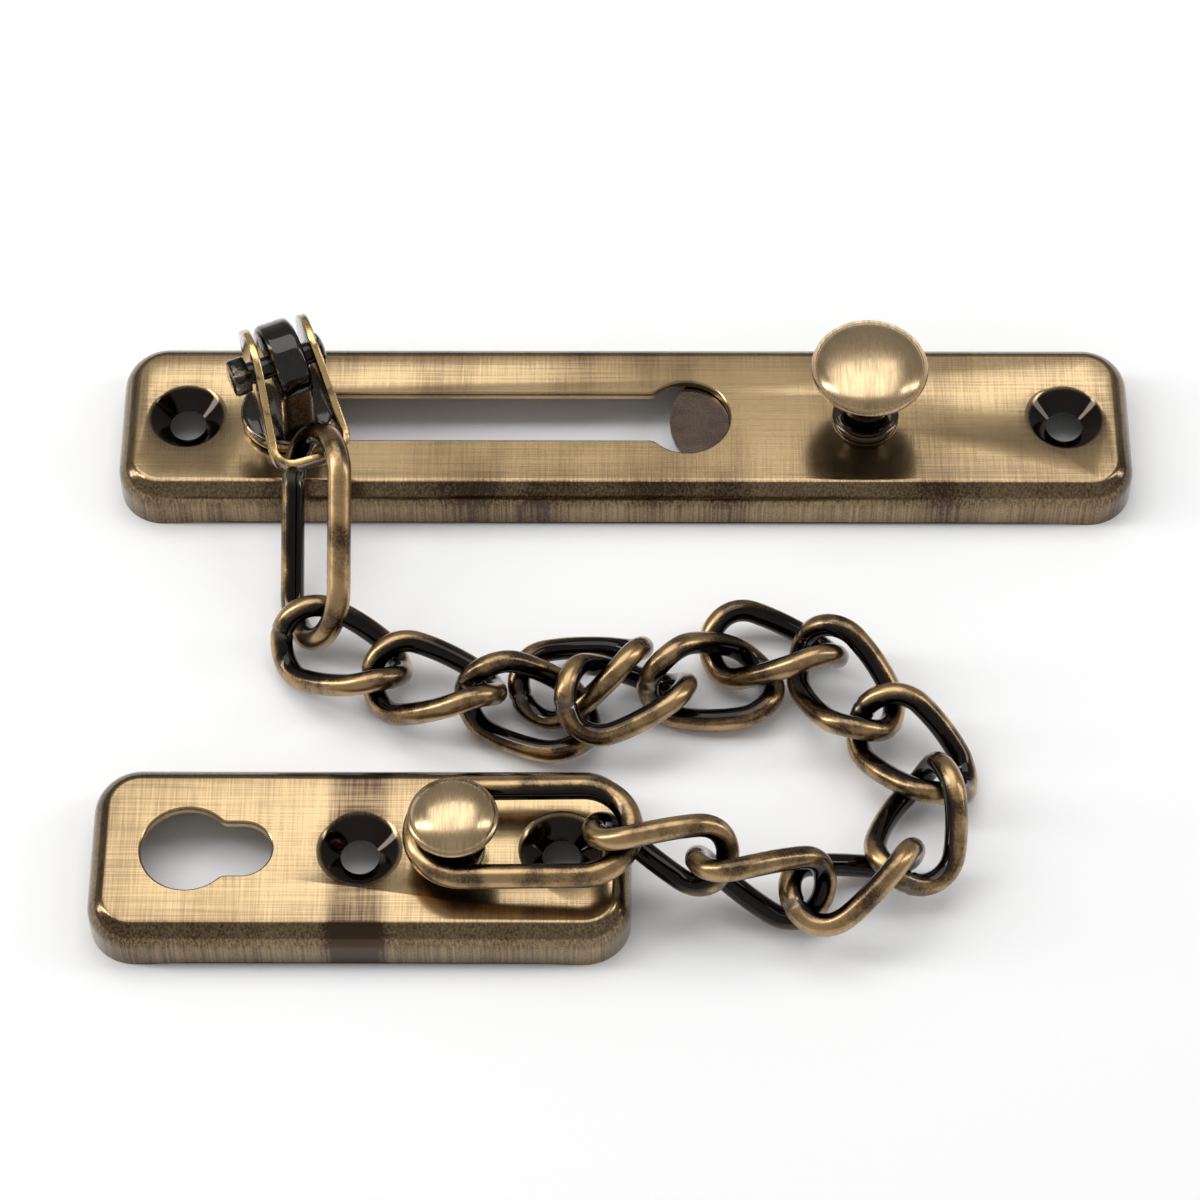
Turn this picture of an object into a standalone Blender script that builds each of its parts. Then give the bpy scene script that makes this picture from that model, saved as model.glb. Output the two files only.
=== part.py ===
"""Door chain guard: a pressed slide plate with a keyhole slot, a swivelling slider, a chain of
twisted links and a pressed keeper plate. Metres, +Z up. Both plates lie face up on z = 0, the
slide plate at the back (+Y), with the chain laid out between them. The origin is the middle of
the set's footprint."""

from math import asin, cos, degrees, hypot, pi, radians, sin, sqrt

import bmesh
import bpy
import numpy as np
from mathutils import Euler, Matrix, Vector

# The pressed plates
SLIDE_PLATE_LENGTH = 0.1500
KEEPER_PLATE_LENGTH = 0.0752
PLATE_WIDTH = 0.0278
PLATE_HEIGHT = 0.0080
SHEET = 0.0012
CORNER_RADIUS = 0.0066
SHOULDER_RADIUS = 0.0040
CREASE_ANGLE = radians(24)
FOOT_LENGTH = 0.0120
FOOT_DROP = 0.0006
SLIDE_PLATE_BACK = 0.0369

# Holes in the plates, along X from each plate's left end
SLIDE_SCREWS = (0.0099, SLIDE_PLATE_LENGTH - 0.0098)
KEEPER_SCREWS = (0.0375, KEEPER_PLATE_LENGTH - 0.0097)
SCREW_HOLE = 0.0054
SCREW_RIM = 0.0111
DIMPLE_DEPTH = 0.0025
SLOT_WIDTH = 0.0083
SLOT_START = 0.0250
BUTTON_AT = SLIDE_PLATE_LENGTH - 0.0395
KEYHOLE_CENTRE = BUTTON_AT - 0.0265
KEYHOLE_DIAMETER = 0.0128
KEEPER_KEYHOLE = 0.0136
KEEPER_SLOT_END = 0.0212

# The slider: a headed stud, the lug that turns on it, and the strap pinned to the lug
STUD_HEAD = 0.0118
STUD_HEAD_THICKNESS = 0.0018
SHANK = 0.0042
SHANK_LENGTH = 0.0060
FLANGE_DIAMETER = 0.0140
FLANGE_THICKNESS = 0.0018
LUG_THICKNESS = 0.0050
LUG_RADIUS = 0.0061
LUG_NECK = 0.0102
LUG_TURN = radians(24)
PIN_HEIGHT = 0.0135
PIN_DIAMETER = 0.0034
PIN_HEAD = 0.0054
PIN_HEAD_LENGTH = 0.0026
SET_END_LENGTH = 0.0007
STRAP_SHEET = 0.0011
STRAP_LENGTH = 0.0161
STRAP_WIDTH_AT_PIN = 0.0097
STRAP_WIDTH_AT_WEB = 0.0118
STRAP_EAR_RADIUS = 0.0060
STRAP_WEB_DEPTH = 0.0042
STRAP_BEND = 0.0026
STRAP_SKEW = radians(-4.5)
STRAP_DROP = radians(21)

# The knobs
BUTTON_HEAD = 0.0171
BUTTON_TOP = 0.0146
BUTTON_RIM = 0.0122
BUTTON_STEM = 0.0050
BUTTON_NECK = 0.0072
BUTTON_TRAVEL = 0.0018
BUTTON_TAIL = 0.0030
COLLAR_DIAMETER = 0.0098
COLLAR_THICKNESS = 0.0013
LEAF_SHEET = 0.0007
LEAF_WIDTH = 0.0205
LEAF_TIP = KEYHOLE_CENTRE - 0.0025
KEEPER_KNOB_AT = 0.0507
KEEPER_KNOB_HEAD = 0.0126
KEEPER_KNOB_TOP = 0.0112
KEEPER_KNOB_RIM = 0.0086
KEEPER_KNOB_NECK = 0.0062
KEEPER_KNOB_BASE = 0.0086
KEEPER_KNOB_SHANK = 0.0040
WASHER_DIAMETER = 0.0095
WASHER_THICKNESS = 0.0010
CLIP_THICKNESS = 0.0008

# The chain: outer sizes of a link, with its wire
WIRE = 0.0033
LINK_LENGTH = 0.0220
LINK_WIDTH = 0.0143
LINK_TWIST = radians(-47)
LONG_WIRE = 0.0035
LONG_LENGTH = 0.0333
LONG_WIDTH = 0.0172

# Clearances
FIT = 0.0003
SLIDE_FIT = 0.0002
EAR_GAP = 0.0007
EAR_BORE_FIT = 0.0007
LINK_FIT = 0.00040
LINK_FLOOR_GAP = 0.00015
SPREAD_ROUNDS = 400
SPREAD_DONE = 0.00001

# How the chain lies: each link's middle from the long link's free end, along X and Y, then its height,
# in millimetres; then which way it points, how far it dips and how far it rolls, in degrees. The rows
# suit links and wire of the sizes in LAY_LINK and LAY_WIRE and stretch with them. A height counts from
# the table, or from the plate's face for the links that climb the keeper plate.
LAY_LINK = 0.0220
LAY_WIRE = 0.0033
LAY_LONG_WIRE = 0.0035
TABLE = 0.0
CHAIN_LAY = (
    (3.8, -2.9, 5.2, TABLE, -25, -2, 4),
    (17.2, -8.4, 5.9, TABLE, -18, -10, -4),
    (30.9, -11.8, 4.8, TABLE, -16, 15, 25),
    (38.5, -6.4, 5.6, TABLE, 18, -14, -17),
    (44.5, -11.0, 7.2, TABLE, 23, 17, -9),
    (57.0, -7.4, 4.9, TABLE, 9, 16, 30),
    (66.0, -1.7, 4.7, TABLE, -13, -8, -15),
    (75.6, -8.4, 6.1, TABLE, -59, -1, 14),
    (85.4, -19.1, 5.2, TABLE, -45, 6, 3),
    (85.7, -31.6, 6.1, TABLE, -102, 2, 24),
    (76.2, -41.0, 7.0, TABLE, -153, -1, 34),
    (63.2, -41.9, 0.9, PLATE_HEIGHT, 175, -21, -91),
    (49.4, -39.2, 5.3, PLATE_HEIGHT, 168, -8, 84),
)
KEEPER_LINK_LAY = (30.6, -37.2, 5.4, PLATE_HEIGHT, 179, 3, -2)
SLIDER_LINK_HEADING = -90
SLIDER_LINK_ROLL = 57
SLIDER_LINK_END_HEIGHT = 0.0046
SLIDER_LINK_IN_STRAP = Vector((0.0012, 0.0011, -0.0021))
KNOB_IN_LINK = Vector((-0.0096, 0.0004, 0))

MILLIMETRE = 0.001
SLIDE_CENTRE = Vector((0, SLIDE_PLATE_BACK, 0))
UP = Vector((0, 0, 1))


def along(centre, length, distance):
    """The point this far from a plate's left end, on its face."""
    return centre + Vector((distance - length / 2, 0, PLATE_HEIGHT))


# ---------------------------------------------------------------- tools


def empty_scene():
    for item in list(bpy.data.objects):
        bpy.data.objects.remove(item)


def new_collection(name):
    made = bpy.data.collections.new(name)
    bpy.context.scene.collection.children.link(made)
    return made


def metal(name, colour, roughness):
    made = bpy.data.materials.new(name)
    made.use_nodes = True
    shader = made.node_tree.nodes["Principled BSDF"]
    shader.inputs["Base Color"].default_value = (*colour, 1)
    shader.inputs["Roughness"].default_value = roughness
    shader.inputs["Metallic"].default_value = 1.0
    return made


def as_object(name, data, material=None):
    """An object in the guard's collection, or, without a material, a cutter that isn't rendered."""
    made = bpy.data.objects.new(name, data)
    if material:
        data.materials.append(material)
        PARTS.objects.link(made)
    else:
        made.hide_render = True
        made.display_type = "WIRE"
        CUTTERS.objects.link(made)
    return made


def turned(name, profile, material=None, steps=28):
    """A solid of revolution about Z from (radius, height) points that run down its outer side."""
    shape = bmesh.new()
    points = [shape.verts.new((r, 0, z)) for r, z in profile]
    for a, b in zip(points, points[1:]):
        shape.edges.new((a, b))
    if profile[0][0] > 0:
        shape.edges.new((points[-1], points[0]))
    data = bpy.data.meshes.new(name)
    shape.to_mesh(data)
    shape.free()
    made = as_object(name, data, material)
    spin = made.modifiers.new("spin", "SCREW")
    spin.steps = steps
    spin.render_steps = steps
    spin.use_merge_vertices = True
    spin.merge_threshold = 0.00001
    if material:
        made.modifiers.new("shading", "WEIGHTED_NORMAL")
    return made


def box(name, low, high):
    shape = bmesh.new()
    bmesh.ops.create_cube(shape, size=1)
    for v in shape.verts:
        v.co = [(a + b) / 2 + (b - a) * c for a, b, c in zip(low, high, v.co)]
    data = bpy.data.meshes.new(name)
    shape.to_mesh(data)
    shape.free()
    return as_object(name, data)


def flat(name, outline, low, high, material=None):
    """A flat piece between two heights, from its outline in X and Y."""
    curve = bpy.data.curves.new(name, "CURVE")
    curve.dimensions = "2D"
    curve.fill_mode = "BOTH"
    curve.extrude = (high - low) / 2
    line = curve.splines.new("POLY")
    line.points.add(len(outline) - 1)
    for point, (x, y) in zip(line.points, outline):
        point.co = (x, y, 0, 1)
    line.use_cyclic_u = True
    drawn = bpy.data.objects.new(name, curve)
    bpy.context.scene.collection.objects.link(drawn)
    bpy.context.view_layer.update()
    data = bpy.data.meshes.new_from_object(drawn.evaluated_get(bpy.context.evaluated_depsgraph_get()))
    bpy.data.objects.remove(drawn)
    shape = bmesh.new()
    shape.from_mesh(data)
    bmesh.ops.remove_doubles(shape, verts=shape.verts, dist=0.000001)
    bmesh.ops.recalc_face_normals(shape, faces=shape.faces)
    bmesh.ops.translate(shape, verts=shape.verts, vec=(0, 0, (low + high) / 2))
    shape.to_mesh(data)
    shape.free()
    return as_object(name, data, material)


def combine(piece, other, operation):
    step = piece.modifiers.new(other.name, "BOOLEAN")
    step.operation = operation
    step.object = other


def cut(piece, cutter):
    combine(piece, cutter, "DIFFERENCE")


def add(piece, other):
    combine(piece, other, "UNION")


def arc(centre, radius, start, end, steps):
    """Points on an arc in a plane, its ends included."""
    turns = [start + (end - start) * k / steps for k in range(steps + 1)]
    return [(centre[0] + radius * cos(t), centre[1] + radius * sin(t)) for t in turns]


def rounded_rectangle(length, width, radius, steps=6):
    """Outline of a rectangle with round corners about its own middle, anticlockwise."""
    points = []
    for turn, (sx, sy) in enumerate(((1, 1), (-1, 1), (-1, -1), (1, -1))):
        centre = (sx * (length / 2 - radius), sy * (width / 2 - radius))
        corner = arc(centre, radius, turn * pi / 2, (turn + 1) * pi / 2, steps)
        points += corner if not points or hypot(*np.subtract(corner[0], points[-1])) > 1e-6 else corner[1:]
    if hypot(*np.subtract(points[0], points[-1])) < 1e-6:
        points.pop()
    return points


def circle(centre, radius, steps=36):
    return arc(centre, radius, 0, 2 * pi, steps)[:-1]


def joint(name, point, parent=None, turn=0.0):
    """An empty on a joint's axis, which carries what moves there."""
    made = bpy.data.objects.new(name, None)
    made.empty_display_size = 0.005
    made.location = point
    made.rotation_euler = (0, 0, turn)
    PARTS.objects.link(made)
    if parent:
        bpy.context.view_layer.update()
        made.parent = parent
        made.matrix_parent_inverse = parent.matrix_world.inverted()
    return made


def carry(joint_empty, *pieces):
    """The pieces ride on the joint and keep their places."""
    bpy.context.view_layer.update()
    for piece in pieces:
        piece.parent = joint_empty
        piece.matrix_parent_inverse = joint_empty.matrix_world.inverted()


# ---------------------------------------------------------------- plates


def pressed_plate(name, length, centre, material):
    """A sheet drawn down over its edges: a flat face, a crease, a round shoulder and a wall, with the
    walls' corners left a little longer as feet."""
    sweep = pi / 2 - CREASE_ANGLE
    shoulder_base = PLATE_HEIGHT - SHOULDER_RADIUS * sin(sweep)
    turns = [sweep * k / 4 for k in range(5)]
    levels = [(0, 0)]
    levels += [(SHOULDER_RADIUS * (1 - cos(t)), shoulder_base + SHOULDER_RADIUS * sin(t)) for t in turns]
    shape = bmesh.new()
    rings = []
    for inset, height in levels:
        outline = rounded_rectangle(length - 2 * inset, PLATE_WIDTH - 2 * inset, CORNER_RADIUS - inset)
        rings.append([shape.verts.new((x, y, height)) for x, y in outline])
    for lower, upper in zip(rings, rings[1:]):
        for k in range(len(lower)):
            n = (k + 1) % len(lower)
            shape.faces.new((lower[k], lower[n], upper[n], upper[k]))
    shape.faces.new(rings[-1])
    data = bpy.data.meshes.new(name)
    shape.to_mesh(data)
    shape.free()
    plate = as_object(name, data, material)
    plate.location = centre
    sheet = plate.modifiers.new("sheet", "SOLIDIFY")
    sheet.thickness = SHEET
    sheet.offset = -1
    sheet.use_even_offset = True
    half, deep = length / 2, PLATE_WIDTH / 2
    reliefs = (
        (f"{name}_side_relief", half - FOOT_LENGTH, deep + SHEET),
        (f"{name}_end_relief", half + SHEET, deep - 0.7 * FOOT_LENGTH),
    )
    for label, reach_x, reach_y in reliefs:
        relief = box(label, (-reach_x, -reach_y, -SHEET), (reach_x, reach_y, FOOT_DROP))
        relief.location = centre
        cut(plate, relief)
    return plate


def screw_hole(plate, point):
    """A hole with its rim pressed down into a cone, for a countersunk head."""
    slope = (SCREW_RIM - SCREW_HOLE) / 2 / DIMPLE_DEPTH
    wall = SHEET * sqrt(1 + slope * slope)
    bury = SHEET / 2
    label = f"{plate.name}_screw_{len(plate.modifiers)}"
    skirt_top = (SCREW_RIM / 2 - bury * slope + wall, -bury)
    skirt_foot = (SCREW_HOLE / 2 + wall, -DIMPLE_DEPTH)
    skirt = turned(f"{label}_skirt", [(0, skirt_top[1]), skirt_top, skirt_foot, (0, skirt_foot[1])])
    over = 0.5 * SHEET
    well = [
        (0, over),
        (SCREW_RIM / 2 + over * slope, over),
        (SCREW_HOLE / 2, -DIMPLE_DEPTH),
        (SCREW_HOLE / 2, -DIMPLE_DEPTH - over),
        (0, -DIMPLE_DEPTH - over),
    ]
    cone = turned(f"{label}_cone", well)
    for tool in (skirt, cone):
        tool.location = point
    add(plate, skirt)
    cut(plate, cone)


def keyhole_slot(plate, centre, length, keyhole, slot_end):
    """The slot that the stud runs in, from its round end to the keyhole that lets the head through."""
    low, high = PLATE_HEIGHT - 2 * SHEET, PLATE_HEIGHT + SHEET
    start, end = sorted((keyhole, slot_end))
    run = rounded_rectangle(end - start + SLOT_WIDTH, SLOT_WIDTH, SLOT_WIDTH / 2 - 0.00001, 8)
    slot = flat(f"{plate.name}_slot", run, low, high)
    slot.location = centre + Vector(((start + end) / 2 - length / 2, 0, 0))
    hole = flat(f"{plate.name}_keyhole", circle((0, 0), KEYHOLE_DIAMETER / 2), low, high)
    hole.location = centre + Vector((keyhole - length / 2, 0, 0))
    cut(plate, slot)
    cut(plate, hole)


def through_hole(plate, name, point, radius):
    hole = turned(name, [(0, SHEET), (radius, SHEET), (radius, -2 * SHEET), (0, -2 * SHEET)])
    hole.location = point
    cut(plate, hole)


def slide_plate(button_point):
    plate = pressed_plate("slide_plate", SLIDE_PLATE_LENGTH, SLIDE_CENTRE, BRUSHED)
    for distance in SLIDE_SCREWS:
        screw_hole(plate, along(SLIDE_CENTRE, SLIDE_PLATE_LENGTH, distance))
    keyhole_slot(plate, SLIDE_CENTRE, SLIDE_PLATE_LENGTH, KEYHOLE_CENTRE, SLOT_START)
    through_hole(plate, "collar_hole", button_point, SLEEVE_RADIUS + SLIDE_FIT)
    return plate


def keeper_plate(centre, knob_point):
    plate = pressed_plate("keeper_plate", KEEPER_PLATE_LENGTH, centre, BRUSHED)
    for distance in KEEPER_SCREWS:
        screw_hole(plate, along(centre, KEEPER_PLATE_LENGTH, distance))
    keyhole_slot(plate, centre, KEEPER_PLATE_LENGTH, KEEPER_KEYHOLE, KEEPER_SLOT_END)
    through_hole(plate, "knob_hole", knob_point, KEEPER_KNOB_SHANK / 2 + SLIDE_FIT)
    return plate


# ---------------------------------------------------------------- release button and its leaf

SLEEVE_RADIUS = BUTTON_STEM / 2 + SLIDE_FIT + 0.0008
LEAF_TOP = -SHEET - FIT
LEAF_FOOT = LEAF_TOP - LEAF_SHEET
LEAF_END = SLIDE_PLATE_LENGTH - SHEET - 0.0014


def mushroom(head, top, rim, neck, neck_foot):
    """The outer side of a low domed head on a waisted neck, as (radius, height) from the plate's face."""
    edge = 0.08 * head
    dome = [(head / 2 * sin(t) * 0.93, rim + (top - rim) * cos(t)) for t in np.linspace(0, pi / 2, 7)[:-1]]
    lip = arc((head / 2 - edge, rim - 0.2 * edge), edge, radians(60), radians(-70), 4)
    waist_top = rim - 2.4 * edge
    waist = [(neck / 2 + 0.25 * (head - neck) / 2, waist_top), (neck / 2, waist_top - edge), (neck / 2, neck_foot)]
    return dome + lip + waist


def release_button():
    clear = COLLAR_THICKNESS + SLIDE_FIT + BUTTON_TRAVEL + FIT
    side = mushroom(BUTTON_HEAD, BUTTON_TOP, BUTTON_RIM, BUTTON_NECK, clear)
    shoulder = LEAF_TOP + FIT
    tail_foot = LEAF_FOOT - 2 * FIT - CLIP_THICKNESS - FIT
    side += [
        (BUTTON_STEM / 2, clear),
        (BUTTON_STEM / 2, shoulder),
        (BUTTON_TAIL / 2, shoulder),
        (BUTTON_TAIL / 2, tail_foot),
        (0, tail_foot),
    ]
    return turned("release_button", side, RUBBED)


def button_collar():
    """The bush that guides the button's stem through the plate."""
    bore = BUTTON_STEM / 2 + SLIDE_FIT
    top = COLLAR_THICKNESS + SLIDE_FIT
    side = [
        (bore, top),
        (COLLAR_DIAMETER / 2 - 0.0004, top),
        (COLLAR_DIAMETER / 2, top - 0.0004),
        (COLLAR_DIAMETER / 2, SLIDE_FIT),
        (SLEEVE_RADIUS, SLIDE_FIT),
        (SLEEVE_RADIUS, -SHEET),
        (bore, -SHEET),
    ]
    return turned("button_collar", side, DARK)


def button_clip():
    """The ring on the stem's tail that keeps the leaf on it."""
    top = LEAF_FOOT - 2 * FIT
    bore, rim = BUTTON_TAIL / 2 + SLIDE_FIT, BUTTON_STEM / 2 + 0.0004
    foot = top - CLIP_THICKNESS
    return turned("button_clip", [(bore, top), (rim, top), (rim, foot), (bore, foot)], DARK, 28)


def latch_leaf(button_point):
    """The spring leaf under the sheet: its round tip bars the keyhole, an eye sits round the right-hand
    screw dimple, and the button's tail goes through it."""
    tip, end = LEAF_TIP - SLIDE_PLATE_LENGTH / 2, LEAF_END - SLIDE_PLATE_LENGTH / 2
    nose = arc((tip + LEAF_WIDTH / 2, 0), LEAF_WIDTH / 2, pi / 2, 3 * pi / 2, 16)
    corner = LEAF_WIDTH / 4
    heel = arc((end - corner, corner - LEAF_WIDTH / 2), corner, -pi / 2, 0, 5)
    heel += arc((end - corner, LEAF_WIDTH / 2 - corner), corner, 0, pi / 2, 5)
    leaf = flat("latch_leaf", nose + heel, LEAF_FOOT, LEAF_TOP, DARK)
    leaf.location = SLIDE_CENTRE + PLATE_HEIGHT * UP
    slope = (SCREW_RIM - SCREW_HOLE) / 2 / DIMPLE_DEPTH
    eye = SCREW_RIM / 2 - SHEET * slope + SHEET * sqrt(1 + slope * slope) + FIT
    eye_x = SLIDE_SCREWS[1] - SLIDE_PLATE_LENGTH / 2
    tail = circle((button_point.x, 0), BUTTON_TAIL / 2 + FIT, 24)
    for label, outline in (("leaf_eye", circle((eye_x, 0), eye, 40)), ("leaf_tail_hole", tail)):
        hole = flat(label, outline, LEAF_FOOT - FIT, LEAF_TOP + FIT)
        hole.location = leaf.location
        cut(leaf, hole)
    return leaf


# ---------------------------------------------------------------- keeper knob


def keeper_knob():
    """The fixed knob: a step on the plate's face, a waist inside the link, and a shank riveted below."""
    step = 0.0016
    side = mushroom(KEEPER_KNOB_HEAD, KEEPER_KNOB_TOP, KEEPER_KNOB_RIM, KEEPER_KNOB_NECK, step + FIT)
    under = -SHEET - WASHER_THICKNESS - 2 * SLIDE_FIT
    side += [
        (KEEPER_KNOB_BASE / 2, step),
        (KEEPER_KNOB_BASE / 2, SLIDE_FIT),
        (KEEPER_KNOB_SHANK / 2, SLIDE_FIT),
        (KEEPER_KNOB_SHANK / 2, under),
        (0.7 * KEEPER_KNOB_SHANK, under),
        (0.6 * KEEPER_KNOB_SHANK, under - 0.0007),
        (0, under - 0.0007),
    ]
    return turned("keeper_knob", side, RUBBED)


def knob_washer():
    """The washer that the knob's shank is riveted over, under the plate."""
    top = -SHEET - SLIDE_FIT
    bore, rim, foot = KEEPER_KNOB_SHANK / 2 + SLIDE_FIT, WASHER_DIAMETER / 2, top - WASHER_THICKNESS
    return turned("knob_washer", [(bore, top), (rim, top), (rim, foot), (bore, foot)], DARK, 32)


# ---------------------------------------------------------------- slider


def slide_stud():
    """The stud under the slot: a flat head, a neck that fits the slot, and a shank up into the lug."""
    neck = SLOT_WIDTH / 2 - SLIDE_FIT
    head_top = -SHEET - FIT
    side = [
        (0, SHANK_LENGTH),
        (SHANK / 2, SHANK_LENGTH),
        (SHANK / 2, 0),
        (neck, 0),
        (neck, head_top),
        (STUD_HEAD / 2, head_top),
        (STUD_HEAD / 2, head_top - STUD_HEAD_THICKNESS + 0.0003),
        (STUD_HEAD / 2 - 0.0003, head_top - STUD_HEAD_THICKNESS),
        (0, head_top - STUD_HEAD_THICKNESS),
    ]
    return turned("slide_stud", side, DARK)


def swivel_lug(axis_point):
    """A round flange on the plate's face with an upright tongue whose top is round about the pin."""
    foot = FIT
    rise = arc((0, PIN_HEIGHT), LUG_RADIUS, radians(-12), radians(192), 22)
    neck = [(-LUG_NECK / 2, foot + FLANGE_THICKNESS / 2), (LUG_NECK / 2, foot + FLANGE_THICKNESS / 2)]
    tongue = flat("lug_tongue", rise + neck, -LUG_THICKNESS / 2, LUG_THICKNESS / 2, DARK)
    tongue.name = "swivel_lug"
    tongue.data.transform(Matrix(((0, 0, 1, 0), (1, 0, 0, 0), (0, 1, 0, 0), (0, 0, 0, 1))))
    soft = tongue.modifiers.new("soft_edges", "BEVEL")
    soft.width = 0.0004
    soft.segments = 1
    soft.limit_method = "ANGLE"
    soft.angle_limit = radians(50)
    top = foot + FLANGE_THICKNESS
    rim = FLANGE_DIAMETER / 2
    side = [(0, top), (rim - 0.0006, top), (rim, top - 0.0005), (rim, foot), (0, foot)]
    bore = SHANK / 2 + SLIDE_FIT
    pin_bore = PIN_DIAMETER / 2 + SLIDE_FIT
    depth = SHANK_LENGTH + FIT
    flange = turned("lug_flange", side)
    socket = turned("lug_socket", [(0, depth), (bore, depth), (bore, -FIT), (0, -FIT)], steps=24)
    through = LUG_THICKNESS
    across = [(0, through), (pin_bore, through), (pin_bore, -through), (0, -through)]
    cross = turned("lug_pin_bore", across, steps=24)
    cross.rotation_euler = (0, pi / 2, LUG_TURN)
    cross.location = axis_point + PIN_HEIGHT * UP
    for piece in (tongue, flange, socket):
        piece.location = axis_point
        piece.rotation_euler = (0, 0, LUG_TURN)
    add(tongue, flange)
    cut(tongue, socket)
    cut(tongue, cross)
    return tongue


def strap_pin(pin_point):
    """The rivet pin: a squarish head on the left, a round set end on the right."""
    reach = STRAP_WIDTH_AT_PIN / 2 + EAR_GAP
    head = PIN_HEAD_LENGTH
    soft = 0.0005
    shank = PIN_DIAMETER / 2
    set_end = PIN_HEAD / 2
    side = [
        (0, reach + SET_END_LENGTH),
        (0.7 * set_end, reach + SET_END_LENGTH),
        (set_end, reach + 0.4 * SET_END_LENGTH),
        (set_end, reach),
        (shank, reach),
        (shank, -reach),
        (PIN_HEAD / 2, -reach),
        (PIN_HEAD / 2, soft - reach - head),
        (PIN_HEAD / 2 - soft, -reach - head),
        (0, -reach - head),
    ]
    pin = turned("strap_pin", side, DARK, 24)
    pin.location = pin_point
    pin.rotation_euler = (0, pi / 2, LUG_TURN)
    for number, height in enumerate((0.42, -0.42)):
        far, near = PIN_HEAD, height * PIN_HEAD
        low, high = (near, far) if height > 0 else (-far, near)
        flat_side = box(f"pin_flat_{number}", (low, -far, -reach - 2 * head), (high, far, -reach - FIT))
        flat_side.location = pin.location
        flat_side.rotation_euler = pin.rotation_euler
        cut(pin, flat_side)
    return pin


def strap_frame(pin_point):
    """The strap's own axes at the pin: X along the pin from left ear to right, Y down to the web."""
    turn = LUG_TURN + STRAP_SKEW
    across = Vector((cos(turn), sin(turn), 0))
    ahead = Vector((sin(turn), -cos(turn), 0))
    down = ahead * cos(STRAP_DROP) - UP * sin(STRAP_DROP)
    facing = across.cross(down)
    return Matrix.Translation(pin_point) @ Matrix((across, down, facing)).transposed().to_4x4()


def strap(frame):
    """A stamped strip bent to a U: two round ears on the pin and a narrower web across their ends."""
    middle = STRAP_SHEET / 2
    top, foot = STRAP_WIDTH_AT_PIN / 2 - middle, STRAP_WIDTH_AT_WEB / 2 - middle
    reach = STRAP_LENGTH - middle
    round_ear = [(-STRAP_EAR_RADIUS * cos(t), STRAP_EAR_RADIUS * sin(t)) for t in np.radians((12, 30, 50, 70, 90))]
    ear = [(-top, s, w) for s, w in round_ear]
    straight = reach - STRAP_BEND
    for share in (0.2, 0.4, 0.6, 0.8, 1.0):
        ease = share * share * (3 - 2 * share)
        width = STRAP_EAR_RADIUS + (STRAP_WEB_DEPTH / 2 - STRAP_EAR_RADIUS) * ease
        ear.append((-top - (foot - top) * share, straight * share, width))
    bend = arc((STRAP_BEND - foot, straight), STRAP_BEND, pi, pi / 2, 5)[1:]
    ear += [(x, s, STRAP_WEB_DEPTH / 2) for x, s in bend]
    ear.append((0, reach, STRAP_WEB_DEPTH / 2))
    shape = bmesh.new()
    rows = [[shape.verts.new((x, s, w * share)) for share in (-1, -0.5, 0, 0.5, 1)] for x, s, w in ear]
    for one, two in zip(rows, rows[1:]):
        for k in range(4):
            shape.faces.new((one[k], one[k + 1], two[k + 1], two[k]))
    bmesh.ops.recalc_face_normals(shape, faces=shape.faces)
    data = bpy.data.meshes.new("strap")
    shape.to_mesh(data)
    shape.free()
    made = as_object("strap", data, DARK)
    made.matrix_world = frame
    mirror = made.modifiers.new("other_ear", "MIRROR")
    mirror.merge_threshold = 0.00001
    sheet = made.modifiers.new("sheet", "SOLIDIFY")
    sheet.thickness = STRAP_SHEET
    sheet.offset = 0
    sheet.use_even_offset = True
    bore = PIN_DIAMETER / 2 + EAR_BORE_FIT
    span = STRAP_WIDTH_AT_WEB
    holes = turned("ear_holes", [(0, span), (bore, span), (bore, -span), (0, -span)], steps=28)
    holes.matrix_world = frame @ Matrix.Rotation(pi / 2, 4, "Y")
    cut(made, holes)
    return made


# ---------------------------------------------------------------- chain


def link_path(length, width, wire, twist, steps):
    """The middle line of a link: a long ring, its two ends turned opposite ways about its length."""
    reach, half = (length - wire) / 2, (width - wire) / 2
    side = reach - half
    around = 4 * side + 2 * pi * half
    points = []
    for k in range(steps):
        s = around * k / steps
        end, s = (1, s) if s < around / 2 else (-1, s - around / 2)
        turn = min(max((s - side) / half, 0), pi)
        x = side + half * sin(turn) if 0 < turn < pi else min(s, around / 2 - s)
        y = half * cos(turn)
        roll = twist * end * x / reach
        points.append(Vector((end * x, end * y * cos(roll), end * y * sin(roll))))
    return points


def ring(name, path, wire, material):
    """A closed ring of round wire."""
    curve = bpy.data.curves.new(name, "CURVE")
    curve.dimensions = "3D"
    curve.bevel_depth = wire / 2
    curve.bevel_resolution = 2
    line = curve.splines.new("POLY")
    line.points.add(len(path) - 1)
    for point, place in zip(line.points, path):
        point.co = (*place, 1)
    line.use_cyclic_u = True
    return as_object(name, curve, material)


def pose(place, heading, dip, roll):
    turn = Euler((radians(roll), radians(dip), radians(heading)), "XYZ")
    return Matrix.Translation(place) @ turn.to_matrix().to_4x4()


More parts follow.
